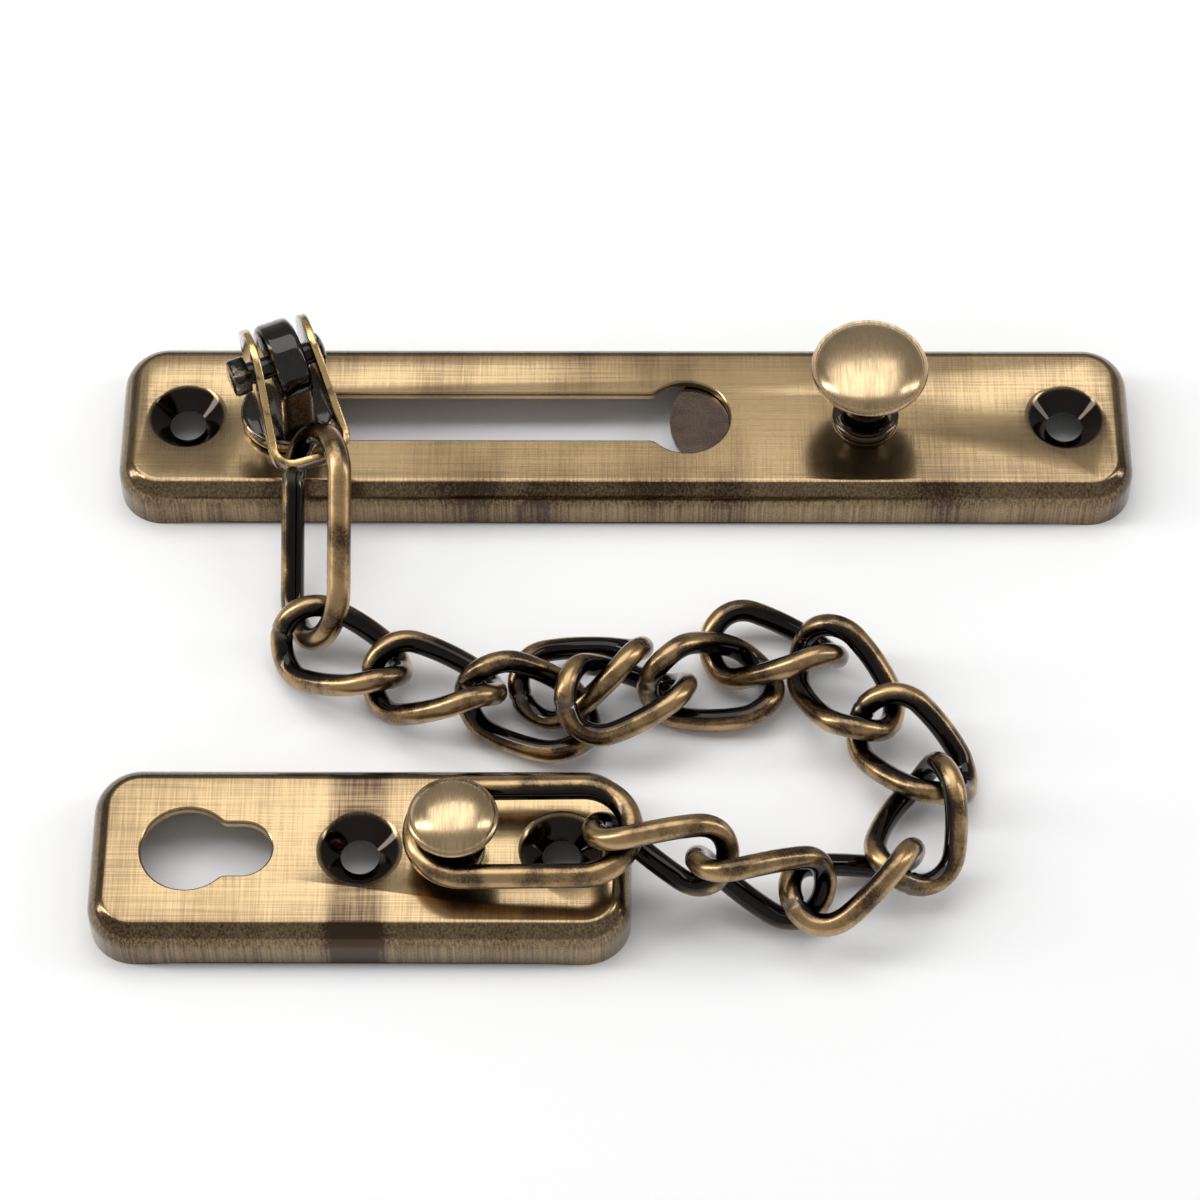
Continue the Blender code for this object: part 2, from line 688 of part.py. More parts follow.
def spread(links):
    """Nudges neighbouring links apart, by shifting and tipping them, until their wires clear. Each link
    is its pose, its middle line and its wire. The first and the last link stay where they are."""
    rings = [np.array([p.to_tuple() for p in path]) for _, path, _ in links]
    turns = [np.array(frame.to_3x3()) for frame, _, _ in links]
    places = [np.array(frame.translation) for frame, _, _ in links]
    free = range(1, len(links) - 1)
    for _ in range(SPREAD_ROUNDS):
        worst = 0.0
        for i in free:
            lowest = (rings[i] @ turns[i].T + places[i])[:, 2].min() - links[i][2] / 2
            places[i][2] += max(0, LINK_FLOOR_GAP - lowest)
        for i, j in [(i, i + step) for i in range(len(links)) for step in (1, 2) if i + step < len(links)]:
            one, two = rings[i] @ turns[i].T + places[i], rings[j] @ turns[j].T + places[j]
            gaps = np.linalg.norm(one[:, None] - two, axis=2)
            a, b = np.unravel_index(gaps.argmin(), gaps.shape)
            short = (links[i][2] + links[j][2]) / 2 + LINK_FIT - gaps[a, b]
            worst = max(worst, short)
            if short <= 0:
                continue
            push = (one[a] - two[b]) / gaps[a, b] * short / 3
            for n, point, way in ((i, one[a], push), (j, two[b], -push)):
                if n not in free:
                    continue
                arm = point - places[n]
                tip = np.cross(arm, way) / (arm @ arm)
                turns[n] = np.array(Matrix.Rotation(np.linalg.norm(tip), 3, Vector(tip))) @ turns[n]
                places[n] = places[n] + way
        if worst < SPREAD_DONE:
            break
    return [Matrix.Translation(p) @ Matrix(t.tolist()).to_4x4() for p, t in zip(places, turns)]


def lay(start, row, thickening):
    """The pose that a row of the lay gives, counted from the long link's free end. Its height grows with
    the link's wire."""
    x, y, height, base, heading, dip, roll = row
    stretch = LINK_LENGTH / LAY_LINK * MILLIMETRE
    rise = (base + height * MILLIMETRE) * thickening
    return pose(Vector((start.x + x * stretch, start.y + y * stretch, rise)), heading, dip, roll)


def long_link_to_slider(frame):
    """The long link in the strap: its near end hooked over the web, its far end down on the table."""
    reach = (LONG_LENGTH - LONG_WIRE) / 2
    across, spare, below = SLIDER_LINK_IN_STRAP
    hook = frame @ Vector((across, STRAP_LENGTH - STRAP_SHEET - LONG_WIRE / 2 - spare, below))
    dip = asin((hook.z - SLIDER_LINK_END_HEIGHT) / (2 * reach))
    lying = pose(hook, SLIDER_LINK_HEADING, degrees(dip), SLIDER_LINK_ROLL)
    return lying @ Matrix.Translation((reach, 0, 0))


def crown(frame, length, wire, way):
    """The middle of the wire at a link's near (-1) or far (1) end."""
    return frame @ Vector((way * (length - wire) / 2, 0, 0))


def main():
    slide_axis = along(SLIDE_CENTRE, SLIDE_PLATE_LENGTH, SLOT_START)
    pin_point = slide_axis + PIN_HEIGHT * UP
    button_point = along(SLIDE_CENTRE, SLIDE_PLATE_LENGTH, BUTTON_AT)

    slide_plate(button_point)
    collar = button_collar()
    collar.location = button_point
    press = joint("button_travel", button_point)
    button, clip = release_button(), button_clip()
    for piece in (button, clip):
        piece.location = button_point
    carry(press, button, clip)
    hinge_point = along(SLIDE_CENTRE, SLIDE_PLATE_LENGTH, LEAF_END) + (LEAF_TOP - LEAF_SHEET / 2) * UP
    carry(joint("leaf_hinge", hinge_point), latch_leaf(button_point))

    slide = joint("slider_travel", slide_axis)
    stud = slide_stud()
    stud.location = slide_axis
    carry(slide, stud)
    swivel = joint("lug_swivel", slide_axis, slide, LUG_TURN)
    carry(swivel, swivel_lug(slide_axis), strap_pin(pin_point))
    frame = strap_frame(pin_point)
    swing = joint("strap_swing", pin_point, swivel, LUG_TURN)
    carry(swing, strap(frame))

    short = link_path(LINK_LENGTH, LINK_WIDTH, WIRE, LINK_TWIST, 28)
    long = link_path(LONG_LENGTH, LONG_WIDTH, LONG_WIRE, 0, 32)
    first = long_link_to_slider(frame)
    start = crown(first, LONG_LENGTH, LONG_WIRE, 1)
    links = [(lay(start, row, WIRE / LAY_WIRE), short, WIRE) for row in CHAIN_LAY]
    links.append((lay(start, KEEPER_LINK_LAY, LONG_WIRE / LAY_LONG_WIRE), long, LONG_WIRE))
    *frames, last = spread([(first, long, LONG_WIRE), *links])[1:]

    hook = crown(first, LONG_LENGTH, LONG_WIRE, -1)
    above = joint("slider_link_hinge", hook, swing)
    link = ring("slider_link", long, LONG_WIRE, CHAIN)
    link.matrix_world = first
    carry(above, link)
    end = start
    for number, place in enumerate(frames, 1):
        near = crown(place, LINK_LENGTH, WIRE, -1)
        above = joint(f"link_{number:02d}_hinge", (end + near) / 2, above)
        link = ring(f"chain_link_{number:02d}", short, WIRE, CHAIN)
        link.matrix_world = place
        carry(above, link)
        end = crown(place, LINK_LENGTH, WIRE, 1)
    above = joint("keeper_link_hinge", (end + crown(last, LONG_LENGTH, LONG_WIRE, -1)) / 2, above)
    link = ring("keeper_link", long, LONG_WIRE, CHAIN)
    link.matrix_world = last
    carry(above, link)

    knob_point = last.translation + KNOB_IN_LINK
    knob_point.z = PLATE_HEIGHT
    centre = knob_point - Vector((KEEPER_KNOB_AT - KEEPER_PLATE_LENGTH / 2, 0, PLATE_HEIGHT))
    knob, washer = keeper_knob(), knob_washer()
    for piece in (knob, washer):
        piece.location = knob_point
    carry(joint("keeper_turn", knob_point, above), keeper_plate(centre, knob_point), knob, washer)


empty_scene()
PARTS = new_collection("door_chain_guard")
CUTTERS = new_collection("cutters")
BRUSHED = metal("brushed antique brass", (0.46, 0.36, 0.21), 0.38)
RUBBED = metal("rubbed brass knob", (0.50, 0.40, 0.24), 0.34)
DARK = metal("blackened brass", (0.06, 0.045, 0.03), 0.25)
CHAIN = metal("antique brass wire", (0.13, 0.10, 0.06), 0.30)
main()
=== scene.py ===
from math import atan2, cos, hypot, pi, radians, sin, sqrt

import bmesh
import bpy
import numpy as np
from mathutils import Matrix, Vector
from mathutils.bvhtree import BVHTree


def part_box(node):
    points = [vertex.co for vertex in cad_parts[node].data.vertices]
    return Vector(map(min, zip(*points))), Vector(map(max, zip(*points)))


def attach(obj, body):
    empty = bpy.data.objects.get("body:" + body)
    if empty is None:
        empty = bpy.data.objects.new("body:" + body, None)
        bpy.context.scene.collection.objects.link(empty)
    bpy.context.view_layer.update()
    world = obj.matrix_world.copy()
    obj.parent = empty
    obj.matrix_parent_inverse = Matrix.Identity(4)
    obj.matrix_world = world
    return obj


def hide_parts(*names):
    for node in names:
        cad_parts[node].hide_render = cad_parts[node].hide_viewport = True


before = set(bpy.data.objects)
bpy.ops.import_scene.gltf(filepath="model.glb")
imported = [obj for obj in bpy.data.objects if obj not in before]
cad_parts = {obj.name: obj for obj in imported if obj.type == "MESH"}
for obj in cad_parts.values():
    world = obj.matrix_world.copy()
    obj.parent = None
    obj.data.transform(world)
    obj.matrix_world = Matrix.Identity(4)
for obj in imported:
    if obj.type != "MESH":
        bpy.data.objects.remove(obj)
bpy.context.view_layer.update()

# ---- The table and the studio
# A white seamless table in an evenly lit tent, a little brighter in front. A large softbox hangs over the
# back of the set and a strip light stands at each side. The camera looks down from the front.

def colour(code):
    """An sRGB hex colour as linear RGBA."""
    parts = [int(code[k:k + 2], 16) / 255 for k in (1, 3, 5)]
    return (*[c / 12.92 if c <= 0.04045 else ((c + 0.055) / 1.055) ** 2.4 for c in parts], 1)


def add_node(tree, kind, *values, named=None, **settings):
    """Adds a node. Inputs come in order or by name: values, sockets, or nodes for their first output."""
    node = tree.nodes.new("ShaderNode" + kind)
    for key, setting in settings.items():
        setattr(node, key, setting)
    for key, value in [*enumerate(values), *(named or {}).items()]:
        if isinstance(value, bpy.types.Node):
            value = value.outputs[0]
        if isinstance(value, bpy.types.NodeSocket):
            tree.links.new(value, node.inputs[key])
        else:
            node.inputs[key].default_value = value
    return node


def new_material(name):
    """An empty Principled material, with its tree and its shader."""
    made = bpy.data.materials.new(name)
    made.use_nodes = True
    return made, made.node_tree, made.node_tree.nodes["Principled BSDF"]


# Matt white table: a plain diffuse surface.
table_white, _, shader = new_material("matt_white_table")
shader.inputs["Base Color"].default_value = colour("#ffffff")
shader.inputs["Roughness"].default_value = 0.6
shader.inputs["Specular IOR Level"].default_value = 0.2
TABLE_HALF = 6.0
table_mesh = bpy.data.meshes.new("table")
table_mesh.from_pydata(
    [
        (x, y, 0)
        for x, y in (
            (-TABLE_HALF, -TABLE_HALF),
            (TABLE_HALF, -TABLE_HALF),
            (TABLE_HALF, TABLE_HALF),
            (-TABLE_HALF, TABLE_HALF),
        )
    ],
    [],
    [(0, 1, 2, 3)],
)
table = bpy.data.objects.new("table", table_mesh)
bpy.context.scene.collection.objects.link(table)
table_mesh.materials.append(table_white)

TENT_FRONT, TENT_BACK = 0.46, 0.30
tent = bpy.data.worlds.new("light_tent")
tent.use_nodes = True
bpy.context.scene.world = tent
sky = add_node(tent.node_tree, "TexCoord")
across = add_node(tent.node_tree, "SeparateXYZ", named={0: sky.outputs["Generated"]})
glow = add_node(
    tent.node_tree,
    "MapRange",
    named={
        "Value": across.outputs["Y"], "From Min": -0.75, "From Max": 0.15, "To Min": TENT_FRONT,
        "To Max": TENT_BACK,
    },
    interpolation_type="SMOOTHSTEP",
)
tent.node_tree.nodes["Background"].inputs["Color"].default_value = (1, 1, 1, 1)
tent.node_tree.links.new(glow.outputs[0], tent.node_tree.nodes["Background"].inputs["Strength"])

for name, place, aim, size, watts in (
    ("back_softbox", (-0.05, 0.22, 0.80), (-0.02, 0, 0), (0.85, 0.60), 3.2),
    ("left_strip", (-0.75, 0.05, 0.55), (0, 0, 0), (0.16, 0.8), 3.4),
    ("right_strip", (0.80, 0.10, 0.50), (0, 0, 0), (0.16, 0.8), 2.0),
):
    lamp = bpy.data.lights.new(name, "AREA")
    lamp.shape = "RECTANGLE"
    lamp.size, lamp.size_y = size
    lamp.energy = watts
    box_light = bpy.data.objects.new(name, lamp)
    box_light.location = place
    box_light.rotation_euler = (Vector(aim) - Vector(place)).to_track_quat("-Z", "Y").to_euler()
    bpy.context.scene.collection.objects.link(box_light)

eye = bpy.data.cameras.new("camera")
eye.lens, eye.sensor_width = 122.6, 36.0
camera = bpy.data.objects.new("camera", eye)
camera.location = (-0.0032, -0.3193, 0.4993)
camera.rotation_euler = Vector((-0.001, 0.550, -0.835)).to_track_quat("-Z", "Y").to_euler()
bpy.context.scene.collection.objects.link(camera)
bpy.context.scene.camera = camera
bpy.context.scene.view_settings.view_transform = "Standard"


# ---- Slide plate
# Pressed from 1.2 mm brass sheet: walls drawn down over the edges, a slot punched to a keyhole, two
# screw holes dimpled for countersunk heads. Antique finish: blackened, brushed back to brass, lacquered.

def as_piece(name, mesh, material, body, slot, *replaced):
    """A mesh as a piece that rides on a body and stands for its CAD nodes."""
    piece = bpy.data.objects.new(name, mesh)
    bpy.context.scene.collection.objects.link(piece)
    mesh.materials.append(material)
    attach(piece, body)
    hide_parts(*replaced)
    return piece


def loft(name, rings, closed=False):
    """A skin over rings of points. Its ends are capped, or it closes on itself."""
    shape = bmesh.new()
    rows = [[shape.verts.new(p) for p in ring] for ring in rings]
    for one, two in zip(rows, rows[1:] + rows[:1] if closed else rows[1:]):
        for k in range(len(one)):
            n = (k + 1) % len(one)
            shape.faces.new((one[k], one[n], two[n], two[k]))
    if not closed:
        shape.faces.new(rows[0][::-1])
        shape.faces.new(rows[-1])
    bmesh.ops.recalc_face_normals(shape, faces=shape.faces)
    mesh = bpy.data.meshes.new(name)
    shape.to_mesh(mesh)
    shape.free()
    mesh.shade_smooth()
    return mesh


def turn_profile(name, profile, steps=96):
    """A turned solid about Z from (radius, height) points that start and end on the axis."""
    rings = [[(r * cos(2 * pi * k / steps), r * sin(2 * pi * k / steps), z) for k in range(steps)]
             for r, z in profile]
    return loft(name, rings)


def tool(name, mesh, at=(0, 0, 0)):
    """A cutting or joining solid that isn't shown."""
    made = bpy.data.objects.new(name, mesh)
    made.location = at
    made.hide_render = made.hide_viewport = True
    bpy.context.scene.collection.objects.link(made)
    return made


def work(piece, operation, *tools):
    """Adds or cuts solids, and keeps the result as the piece's own mesh."""
    for other in tools:
        step = piece.modifiers.new(other.name, "BOOLEAN")
        step.operation, step.object, step.solver = operation, other, "EXACT"
    bpy.context.view_layer.update()
    done = bpy.data.meshes.new_from_object(piece.evaluated_get(bpy.context.evaluated_depsgraph_get()))
    piece.modifiers.clear()
    piece.data = done
    for other in tools:
        bpy.data.objects.remove(other)


MM = 0.001
SHEET = 1.2 * MM
CORNER, SHOULDER = 6.6 * MM, 4.0 * MM
FOOT_LENGTH, FOOT_DROP = 12 * MM, 0.6 * MM


def plate_outline(half_x, half_y, radius):
    """A rectangle with round corners, with points along its sides too, anticlockwise."""
    points = []
    for turn, (sx, sy) in enumerate(((1, 1), (-1, 1), (-1, -1), (1, -1))):
        centre = (sx * (half_x - radius), sy * (half_y - radius))
        for k in range(13):
            t = (turn + k / 12) * pi / 2
            points.append((centre[0] + radius * cos(t), centre[1] + radius * sin(t)))
        nx, ny = ((-1, 1), (-1, -1), (1, -1), (1, 1))[turn]
        target = (
            (nx * (half_x - radius), points[-1][1]), (points[-1][0], ny * (half_y - radius)),
        )[turn % 2]
        start = points[-1]
        count = 28 if turn % 2 == 0 else 8
        for k in range(1, count):
            points.append(
                (
                    start[0] + (target[0] - start[0]) * k / count,
                    start[1] + (target[1] - start[1]) * k / count,
                )
            )
    return points


def plate_blank(name, centre, half_x, half_y, top):
    """The drawn sheet before punching: outer skin up from the feet, and inner skin one sheet inside it."""
    lean = radians(24)
    arc = [(SHOULDER * (1 - cos(t)), top - SHOULDER * sin(pi / 2 - lean) + SHOULDER * sin(t))
           for t in np.linspace(0, pi / 2 - lean, 9)]
    crease = arc[-1]
    soft = 0.28 * MM
    outer = [
        (0, 0), (0, 0.4 * MM), *arc[:-1], (crease[0] - soft * cos(lean), top - soft * sin(lean)),
        (crease[0] + 0.05 * MM, top - 0.035 * MM), (crease[0] + soft, top), (crease[0] + 1.5 * soft, top),
    ]
    inner_radius = SHOULDER - SHEET
    inner = [(SHEET, 0), (SHEET, 1.0 * MM)]
    inner += [(SHEET + inner_radius * (1 - cos(t)), top - SHEET - inner_radius + inner_radius * sin(t))
              for t in np.linspace(0, pi / 2, 7)]

    def foot(x, y, z):
        """The wall's edge is drawn up a little between the feet."""
        away = max(half_x - abs(x), half_y - abs(y))
        lift = min(max((away - 0.75 * FOOT_LENGTH) / (0.35 * FOOT_LENGTH), 0), 1) if z == 0 else 0
        return z + FOOT_DROP * lift * lift * (3 - 2 * lift)

    rings = []
    for inset, z in inner[::-1] + outer:
        radius = max(CORNER - inset, 0.3 * MM)
        rings.append([(centre.x + x, centre.y + y, foot(x, y, z))
                      for x, y in plate_outline(half_x - inset, half_y - inset, radius)])
    return loft(name, rings)


def keyhole_outline(radius, half, reach, grow, blend=1.6 * MM):
    """A round hole at 0, 0 with a slot to x = -reach, every edge moved out by grow."""
    fillet_x = -sqrt((radius + blend) ** 2 - (half + blend) ** 2)
    lean = atan2(half + blend, -fillet_x)
    points = [
        ((radius + grow) * cos(t), (radius + grow) * sin(t))
        for t in np.linspace(-(pi - lean), pi - lean, 48)
    ]
    bend = blend - grow
    points += [
        (fillet_x + bend * cos(t), half + blend + bend * sin(t)) for t in np.linspace(-lean, -pi / 2, 8)
    ]
    points += [
        (-reach + (half + grow) * cos(t), (half + grow) * sin(t))
        for t in np.linspace(pi / 2, 3 * pi / 2, 24)
    ]
    points += [
        (fillet_x + bend * cos(t), -half - blend + bend * sin(t)) for t in np.linspace(pi / 2, lean, 8)
    ]
    return points


# Punching rolls the sheet's upper edge over: each hole's tool flares at the face, as (depth, growth) rows.
ROLLED_EDGE = ((0.12, 0.50), (-0.02, 0.28), (-0.10, 0.14), (-0.24, 0.05), (-0.45, 0.0), (-3.0, 0.0))


def punch(name, x, y, top, radius, half=None, reach=None, way=1):
    """The tool for a round hole, or for a keyhole slot that runs to -way along X."""
    rings = []
    for depth, grow in ROLLED_EDGE:
        if half:
            outline = keyhole_outline(radius, half, reach, grow * MM)
        else:
            outline = [
                ((radius + grow * MM) * cos(t), (radius + grow * MM) * sin(t))
                for t in np.linspace(0, 2 * pi, 49)[:-1]
            ]
        rings.append([(x + way * px, y + py, top + depth * MM) for px, py in outline])
    return tool(name, loft(name, rings))


SCREW_HOLE, SCREW_RIM, DIMPLE = 2.7 * MM, 5.55 * MM, 2.5 * MM


def dimple_tools(name, x, y, top):
    """What adds a dimple's skirt under the sheet, and what cuts its cone with a soft lip."""
    slope = (SCREW_RIM - SCREW_HOLE) / DIMPLE
    wall = SHEET * sqrt(1 + slope * slope)
    skirt = [
        (0, -0.6 * MM),
        (SCREW_RIM - 0.6 * MM * slope + wall, -0.6 * MM),
        (SCREW_HOLE + wall, -DIMPLE),
        (0, -DIMPLE),
    ]
    lip = [
        (SCREW_RIM + 0.75 * MM, 0.06 * MM),
        (SCREW_RIM + 0.45 * MM, -0.02 * MM),
        (SCREW_RIM + 0.1 * MM, -0.13 * MM),
        (SCREW_RIM - 0.28 * MM, -0.36 * MM),
    ]
    cone = [
        (0, 0.06 * MM), *lip, (SCREW_HOLE, -DIMPLE + 0.1 * MM),
        (SCREW_HOLE - 0.02 * MM, -DIMPLE - 0.5 * MM), (0, -DIMPLE - 0.5 * MM),
    ]
    axis = (x, y, top)
    added = tool(name + "_skirt", turn_profile(name, skirt, 64), axis)
    cutter = tool(name + "_cone", turn_profile(name, cone, 64), axis)
    return added, cutter


def hair_lines(tree, place, length, pitch):
    """Brush marks: noise drawn out to a length along one axis and a pitch across it, both in mm."""
    scale = [1 / (MM * (length if c == place[1] else pitch)) for c in "XYZ"]
    mapped = add_node(tree, "Mapping", named={"Vector": place[0], "Scale": scale}, vector_type="POINT")
    return add_node(
        tree, "TexNoise", named={"Vector": mapped, "Scale": 1.0, "Detail": 3.0, "Roughness": 0.6},
    )


# Antique brass plate: a brass sheet blackened, then brushed lengthways and crossways on a wheel, so the
# faces show warm brass with fine crossed lines and the dark stays in the dimples. The shoulders and walls
# are darkened with painted shade, and the lower wall is lifted a little with painted light.
# Clear lacquer over it gives a sharp thin gloss. Real brush lines are about 0.1 mm apart; they are drawn
# at 0.22 to 0.3 mm so that they show.
def antique_plate(name, centre, half_x, half_y, holes_from, holes_at, band=None, wear=0.0):
    made, tree, shader = new_material(name)
    place = add_node(tree, "TexCoord").outputs["Object"]
    apart = add_node(tree, "SeparateXYZ", named={0: place})
    x, y, z = apart.outputs
    lengthways = hair_lines(tree, (place, "X"), 16.0, 0.22)
    crossways = hair_lines(tree, (place, "Y"), 9.0, 0.26)
    upright = hair_lines(tree, (place, "Z"), 30.0, 0.30)
    patches = add_node(
        tree,
        "TexNoise",
        named={
            "Vector": add_node(
                tree, "Mapping", named={"Vector": place, "Scale": (0.07 / MM, 0.028 / MM, 0.028 / MM)},
            ),
            "Scale": 1.0,
            "Detail": 2.0,
        },
    )
    blotches = add_node(
        tree, "TexNoise", named={"Vector": place, "Scale": 0.42 / MM, "Detail": 4.0, "Roughness": 0.6},
    )

    # How far a point is inside the plate's outline
    over_x = add_node(
        tree,
        "Math",
        add_node(
            tree, "Math", add_node(tree, "Math", x, centre.x, operation="SUBTRACT"), operation="ABSOLUTE",
        ),
        half_x - CORNER,
        operation="SUBTRACT",
    )
    over_y = add_node(
        tree,
        "Math",
        add_node(
            tree, "Math", add_node(tree, "Math", y, centre.y, operation="SUBTRACT"), operation="ABSOLUTE",
        ),
        half_y - CORNER,
        operation="SUBTRACT",
    )
    out_x = add_node(tree, "Math", over_x, 0.0, operation="MAXIMUM")
    out_y = add_node(tree, "Math", over_y, 0.0, operation="MAXIMUM")
    beyond = add_node(
        tree,
        "Math",
        add_node(
            tree, "Math", add_node(tree, "Math", out_x, out_x, operation="MULTIPLY"),
            add_node(tree, "Math", out_y, out_y, operation="MULTIPLY"), operation="ADD",
        ),
        operation="SQRT",
    )
    within = add_node(
        tree, "Math", add_node(tree, "Math", over_x, over_y, operation="MAXIMUM"), 0.0, operation="MINIMUM",
    )
    inset = add_node(
        tree, "Math", CORNER, add_node(tree, "Math", beyond, within, operation="ADD"), operation="SUBTRACT",
    )

    # How far a point is from the nearer screw hole's axis
    to_hole_x = add_node(
        tree,
        "Math",
        add_node(
            tree, "Math", add_node(tree, "Math", x, holes_from, operation="SUBTRACT"), operation="ABSOLUTE",
        ),
        holes_at,
        operation="SUBTRACT",
    )
    to_hole_y = add_node(tree, "Math", y, centre.y, operation="SUBTRACT")
    from_hole = add_node(
        tree,
        "Math",
        add_node(
            tree,
            "Math",
            add_node(tree, "Math", to_hole_x, to_hole_x, operation="MULTIPLY"),
            add_node(tree, "Math", to_hole_y, to_hole_y, operation="MULTIPLY"),
            operation="ADD",
        ),
        operation="SQRT",
    )
    in_dimple = add_node(
        tree, "MapRange", from_hole, SCREW_RIM + 0.25 * MM, SCREW_RIM - 0.35 * MM,
        interpolation_type="SMOOTHSTEP",
    )
    round_dimple = add_node(
        tree, "MapRange", from_hole, SCREW_RIM + 2.0 * MM, SCREW_RIM + 0.6 * MM,
        interpolation_type="SMOOTHSTEP",
    )

    # Dark left by the brushing: a fading rim on the face and broad patches. Where band is given, a darker
    # strip runs across the face there. Painted shade darkens all of the shoulder and wall; painted light lifts
    # the lower wall.
    shoulder = add_node(tree, "MapRange", inset, 2.9 * MM, 1.9 * MM, interpolation_type="SMOOTHSTEP")
    rim = add_node(tree, "MapRange", inset, 7.0 * MM, 2.6 * MM, interpolation_type="SMOOTHSTEP")
    wall = add_node(tree, "MapRange", z, 4.9 * MM, 3.4 * MM, interpolation_type="SMOOTHSTEP")
    stain_and_painted_shading = add_node(
        tree,
        "Math",
        add_node(tree, "MapRange", patches, 0.42, 0.75, interpolation_type="SMOOTHSTEP"),
        0.42 + wear,
        operation="MULTIPLY",
    )
    stain_and_painted_shading = add_node(
        tree, "Math", stain_and_painted_shading, add_node(tree, "Math", rim, 0.20, operation="MULTIPLY"), operation="ADD",
    )
    stain_and_painted_shading = add_node(
        tree,
        "Math",
        stain_and_painted_shading,
        add_node(tree, "Math", round_dimple, 0.22, operation="MULTIPLY"),
        operation="ADD",
    )
    if band:
        near_band = add_node(
            tree, "Math", add_node(tree, "Math", x, band, operation="SUBTRACT"), operation="ABSOLUTE",
        )
        stain_and_painted_shading = add_node(
            tree,
            "Math",
            stain_and_painted_shading,
            add_node(
                tree,
                "Math",
                add_node(tree, "MapRange", near_band, 5.5 * MM, 2.2 * MM, interpolation_type="SMOOTHSTEP"),
                0.62,
                operation="MULTIPLY",
            ),
            operation="ADD",
        )
    # Painted shade: all of the shoulder and wall are darkened.
    stain_and_painted_shading = add_node(
        tree, "Math", stain_and_painted_shading, add_node(tree, "Math", shoulder, 0.46, operation="MULTIPLY"), operation="ADD",
    )
    # Painted light: the lower wall is lightened.
    stain_and_painted_shading = add_node(
        tree, "Math", stain_and_painted_shading, add_node(tree, "Math", wall, 0.12, operation="MULTIPLY"), operation="SUBTRACT",
    )
    strokes = add_node(
        tree,
        "Math",
        add_node(tree, "Math", lengthways, 0.55, operation="MULTIPLY"),
        add_node(tree, "Math", crossways, 0.45, operation="MULTIPLY"),
        operation="ADD",
    )
    wall_strokes = add_node(
        tree,
        "Math",
        add_node(tree, "Math", upright, 0.6, operation="MULTIPLY"),
        add_node(tree, "Math", crossways, 0.4, operation="MULTIPLY"),
        operation="ADD",
    )
    strokes = add_node(tree, "Mix", named={0: shoulder, 2: strokes, 3: wall_strokes})
    cut = add_node(tree, "MapRange", strokes, 0.34, 0.66, -0.20, 0.24, interpolation_type="SMOOTHSTEP")
    dark = add_node(
        tree,
        "Math",
        add_node(tree, "Math", stain_and_painted_shading, cut, operation="ADD"),
        add_node(
            tree,
            "Math",
            add_node(tree, "MapRange", blotches, 0.45, 0.8, interpolation_type="SMOOTHSTEP"),
            0.07,
            operation="MULTIPLY",
        ),
        operation="ADD",
        use_clamp=True,
    )

    brass = add_node(
        tree, "Mix", named={0: patches, 6: colour("#c4aa80"), 7: colour("#a98e66")}, data_type="RGBA",
    ).outputs[2]
    # The brass is darkened by the stains and wear above, and by the painted shade on shoulder and wall.
    worn_and_painted_shading = add_node(
        tree, "Mix", named={0: dark, 6: brass, 7: colour("#3d2b19")}, data_type="RGBA",
    ).outputs[2]
    finish = add_node(
        tree, "Mix", named={0: in_dimple, 6: worn_and_painted_shading, 7: colour("#231911")}, data_type="RGBA",
    ).outputs[2]
    tree.links.new(finish, shader.inputs["Base Color"])
    shader.inputs["Metallic"].default_value = 1.0
    rough = add_node(
        tree,
        "Mix",
        named={
            0: in_dimple,
            2: add_node(tree, "MapRange", strokes, 0.3, 0.7, 0.16, 0.26, interpolation_type="SMOOTHSTEP"),
            3: 0.10,
        },
    )
    tree.links.new(rough.outputs[0], shader.inputs["Roughness"])
    shader.inputs["Coat Weight"].default_value = 0.4
    shader.inputs["Coat Roughness"].default_value = 0.05
    grooves = add_node(
        tree,
        "Math",
        strokes,
        add_node(tree, "Math", 1.0, in_dimple, operation="SUBTRACT"),
        operation="MULTIPLY",
    )
    bump = add_node(tree, "Bump", named={"Strength": 0.16, "Distance": 0.00004, "Height": grooves})
    tree.links.new(bump.outputs[0], shader.inputs["Normal"])
    return made


def plate_facts(node):
    """A plate's centre, half sizes and face height, from its CAD box."""
    low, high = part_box(node)
    half = (high - low) / 2
    return (low + high) / 2, half.x, half.y, high.z


slide_centre, slide_half, slide_deep, FACE = plate_facts("slide_plate")
slide_left = slide_centre.x - slide_half
SLIDE_HOLES = (9.9 * MM, 140.2 * MM)
SLOT_HALF = 4.15 * MM
KEYHOLE_AT, SLOT_FROM = 84.0 * MM, 25.0 * MM
BUTTON_AT = 110.5 * MM
slide_brass = antique_plate("lacquered_antique_brass_slide_plate", slide_centre, slide_half, slide_deep,
                            slide_left + sum(SLIDE_HOLES) / 2, (SLIDE_HOLES[1] - SLIDE_HOLES[0]) / 2)
slide = as_piece(
    "pressed_slide_plate",
    plate_blank("slide_blank", slide_centre, slide_half, slide_deep, FACE),
    slide_brass,
    "slide_plate",
    "brushed_brass",
    "slide_plate",
)
dimples = [
    dimple_tools(f"slide_dimple_{n}", slide_left + at, slide_centre.y, FACE)
    for n, at in enumerate(SLIDE_HOLES)
]
work(slide, "UNION", *[skirt for skirt, _ in dimples])
work(
    slide,
    "DIFFERENCE",
    *[cone for _, cone in dimples],
    punch(
        "slide_keyhole", slide_left + KEYHOLE_AT, slide_centre.y, FACE, 6.4 * MM, SLOT_HALF,
        KEYHOLE_AT - SLOT_FROM,
    ),
    punch("button_hole", slide_left + BUTTON_AT, slide_centre.y, FACE, 3.5 * MM),
)
slide.data.shade_smooth()
slide.data.set_sharp_from_angle(angle=radians(32))


# ---- Release knob, its collar, and the latch leaf
# A turned brass mushroom on a waisted stem, sliding in a black collar. It presses down the spring leaf
# whose round tip shows under the keyhole. The head is brushed bright and lacquered, the rest blackened.

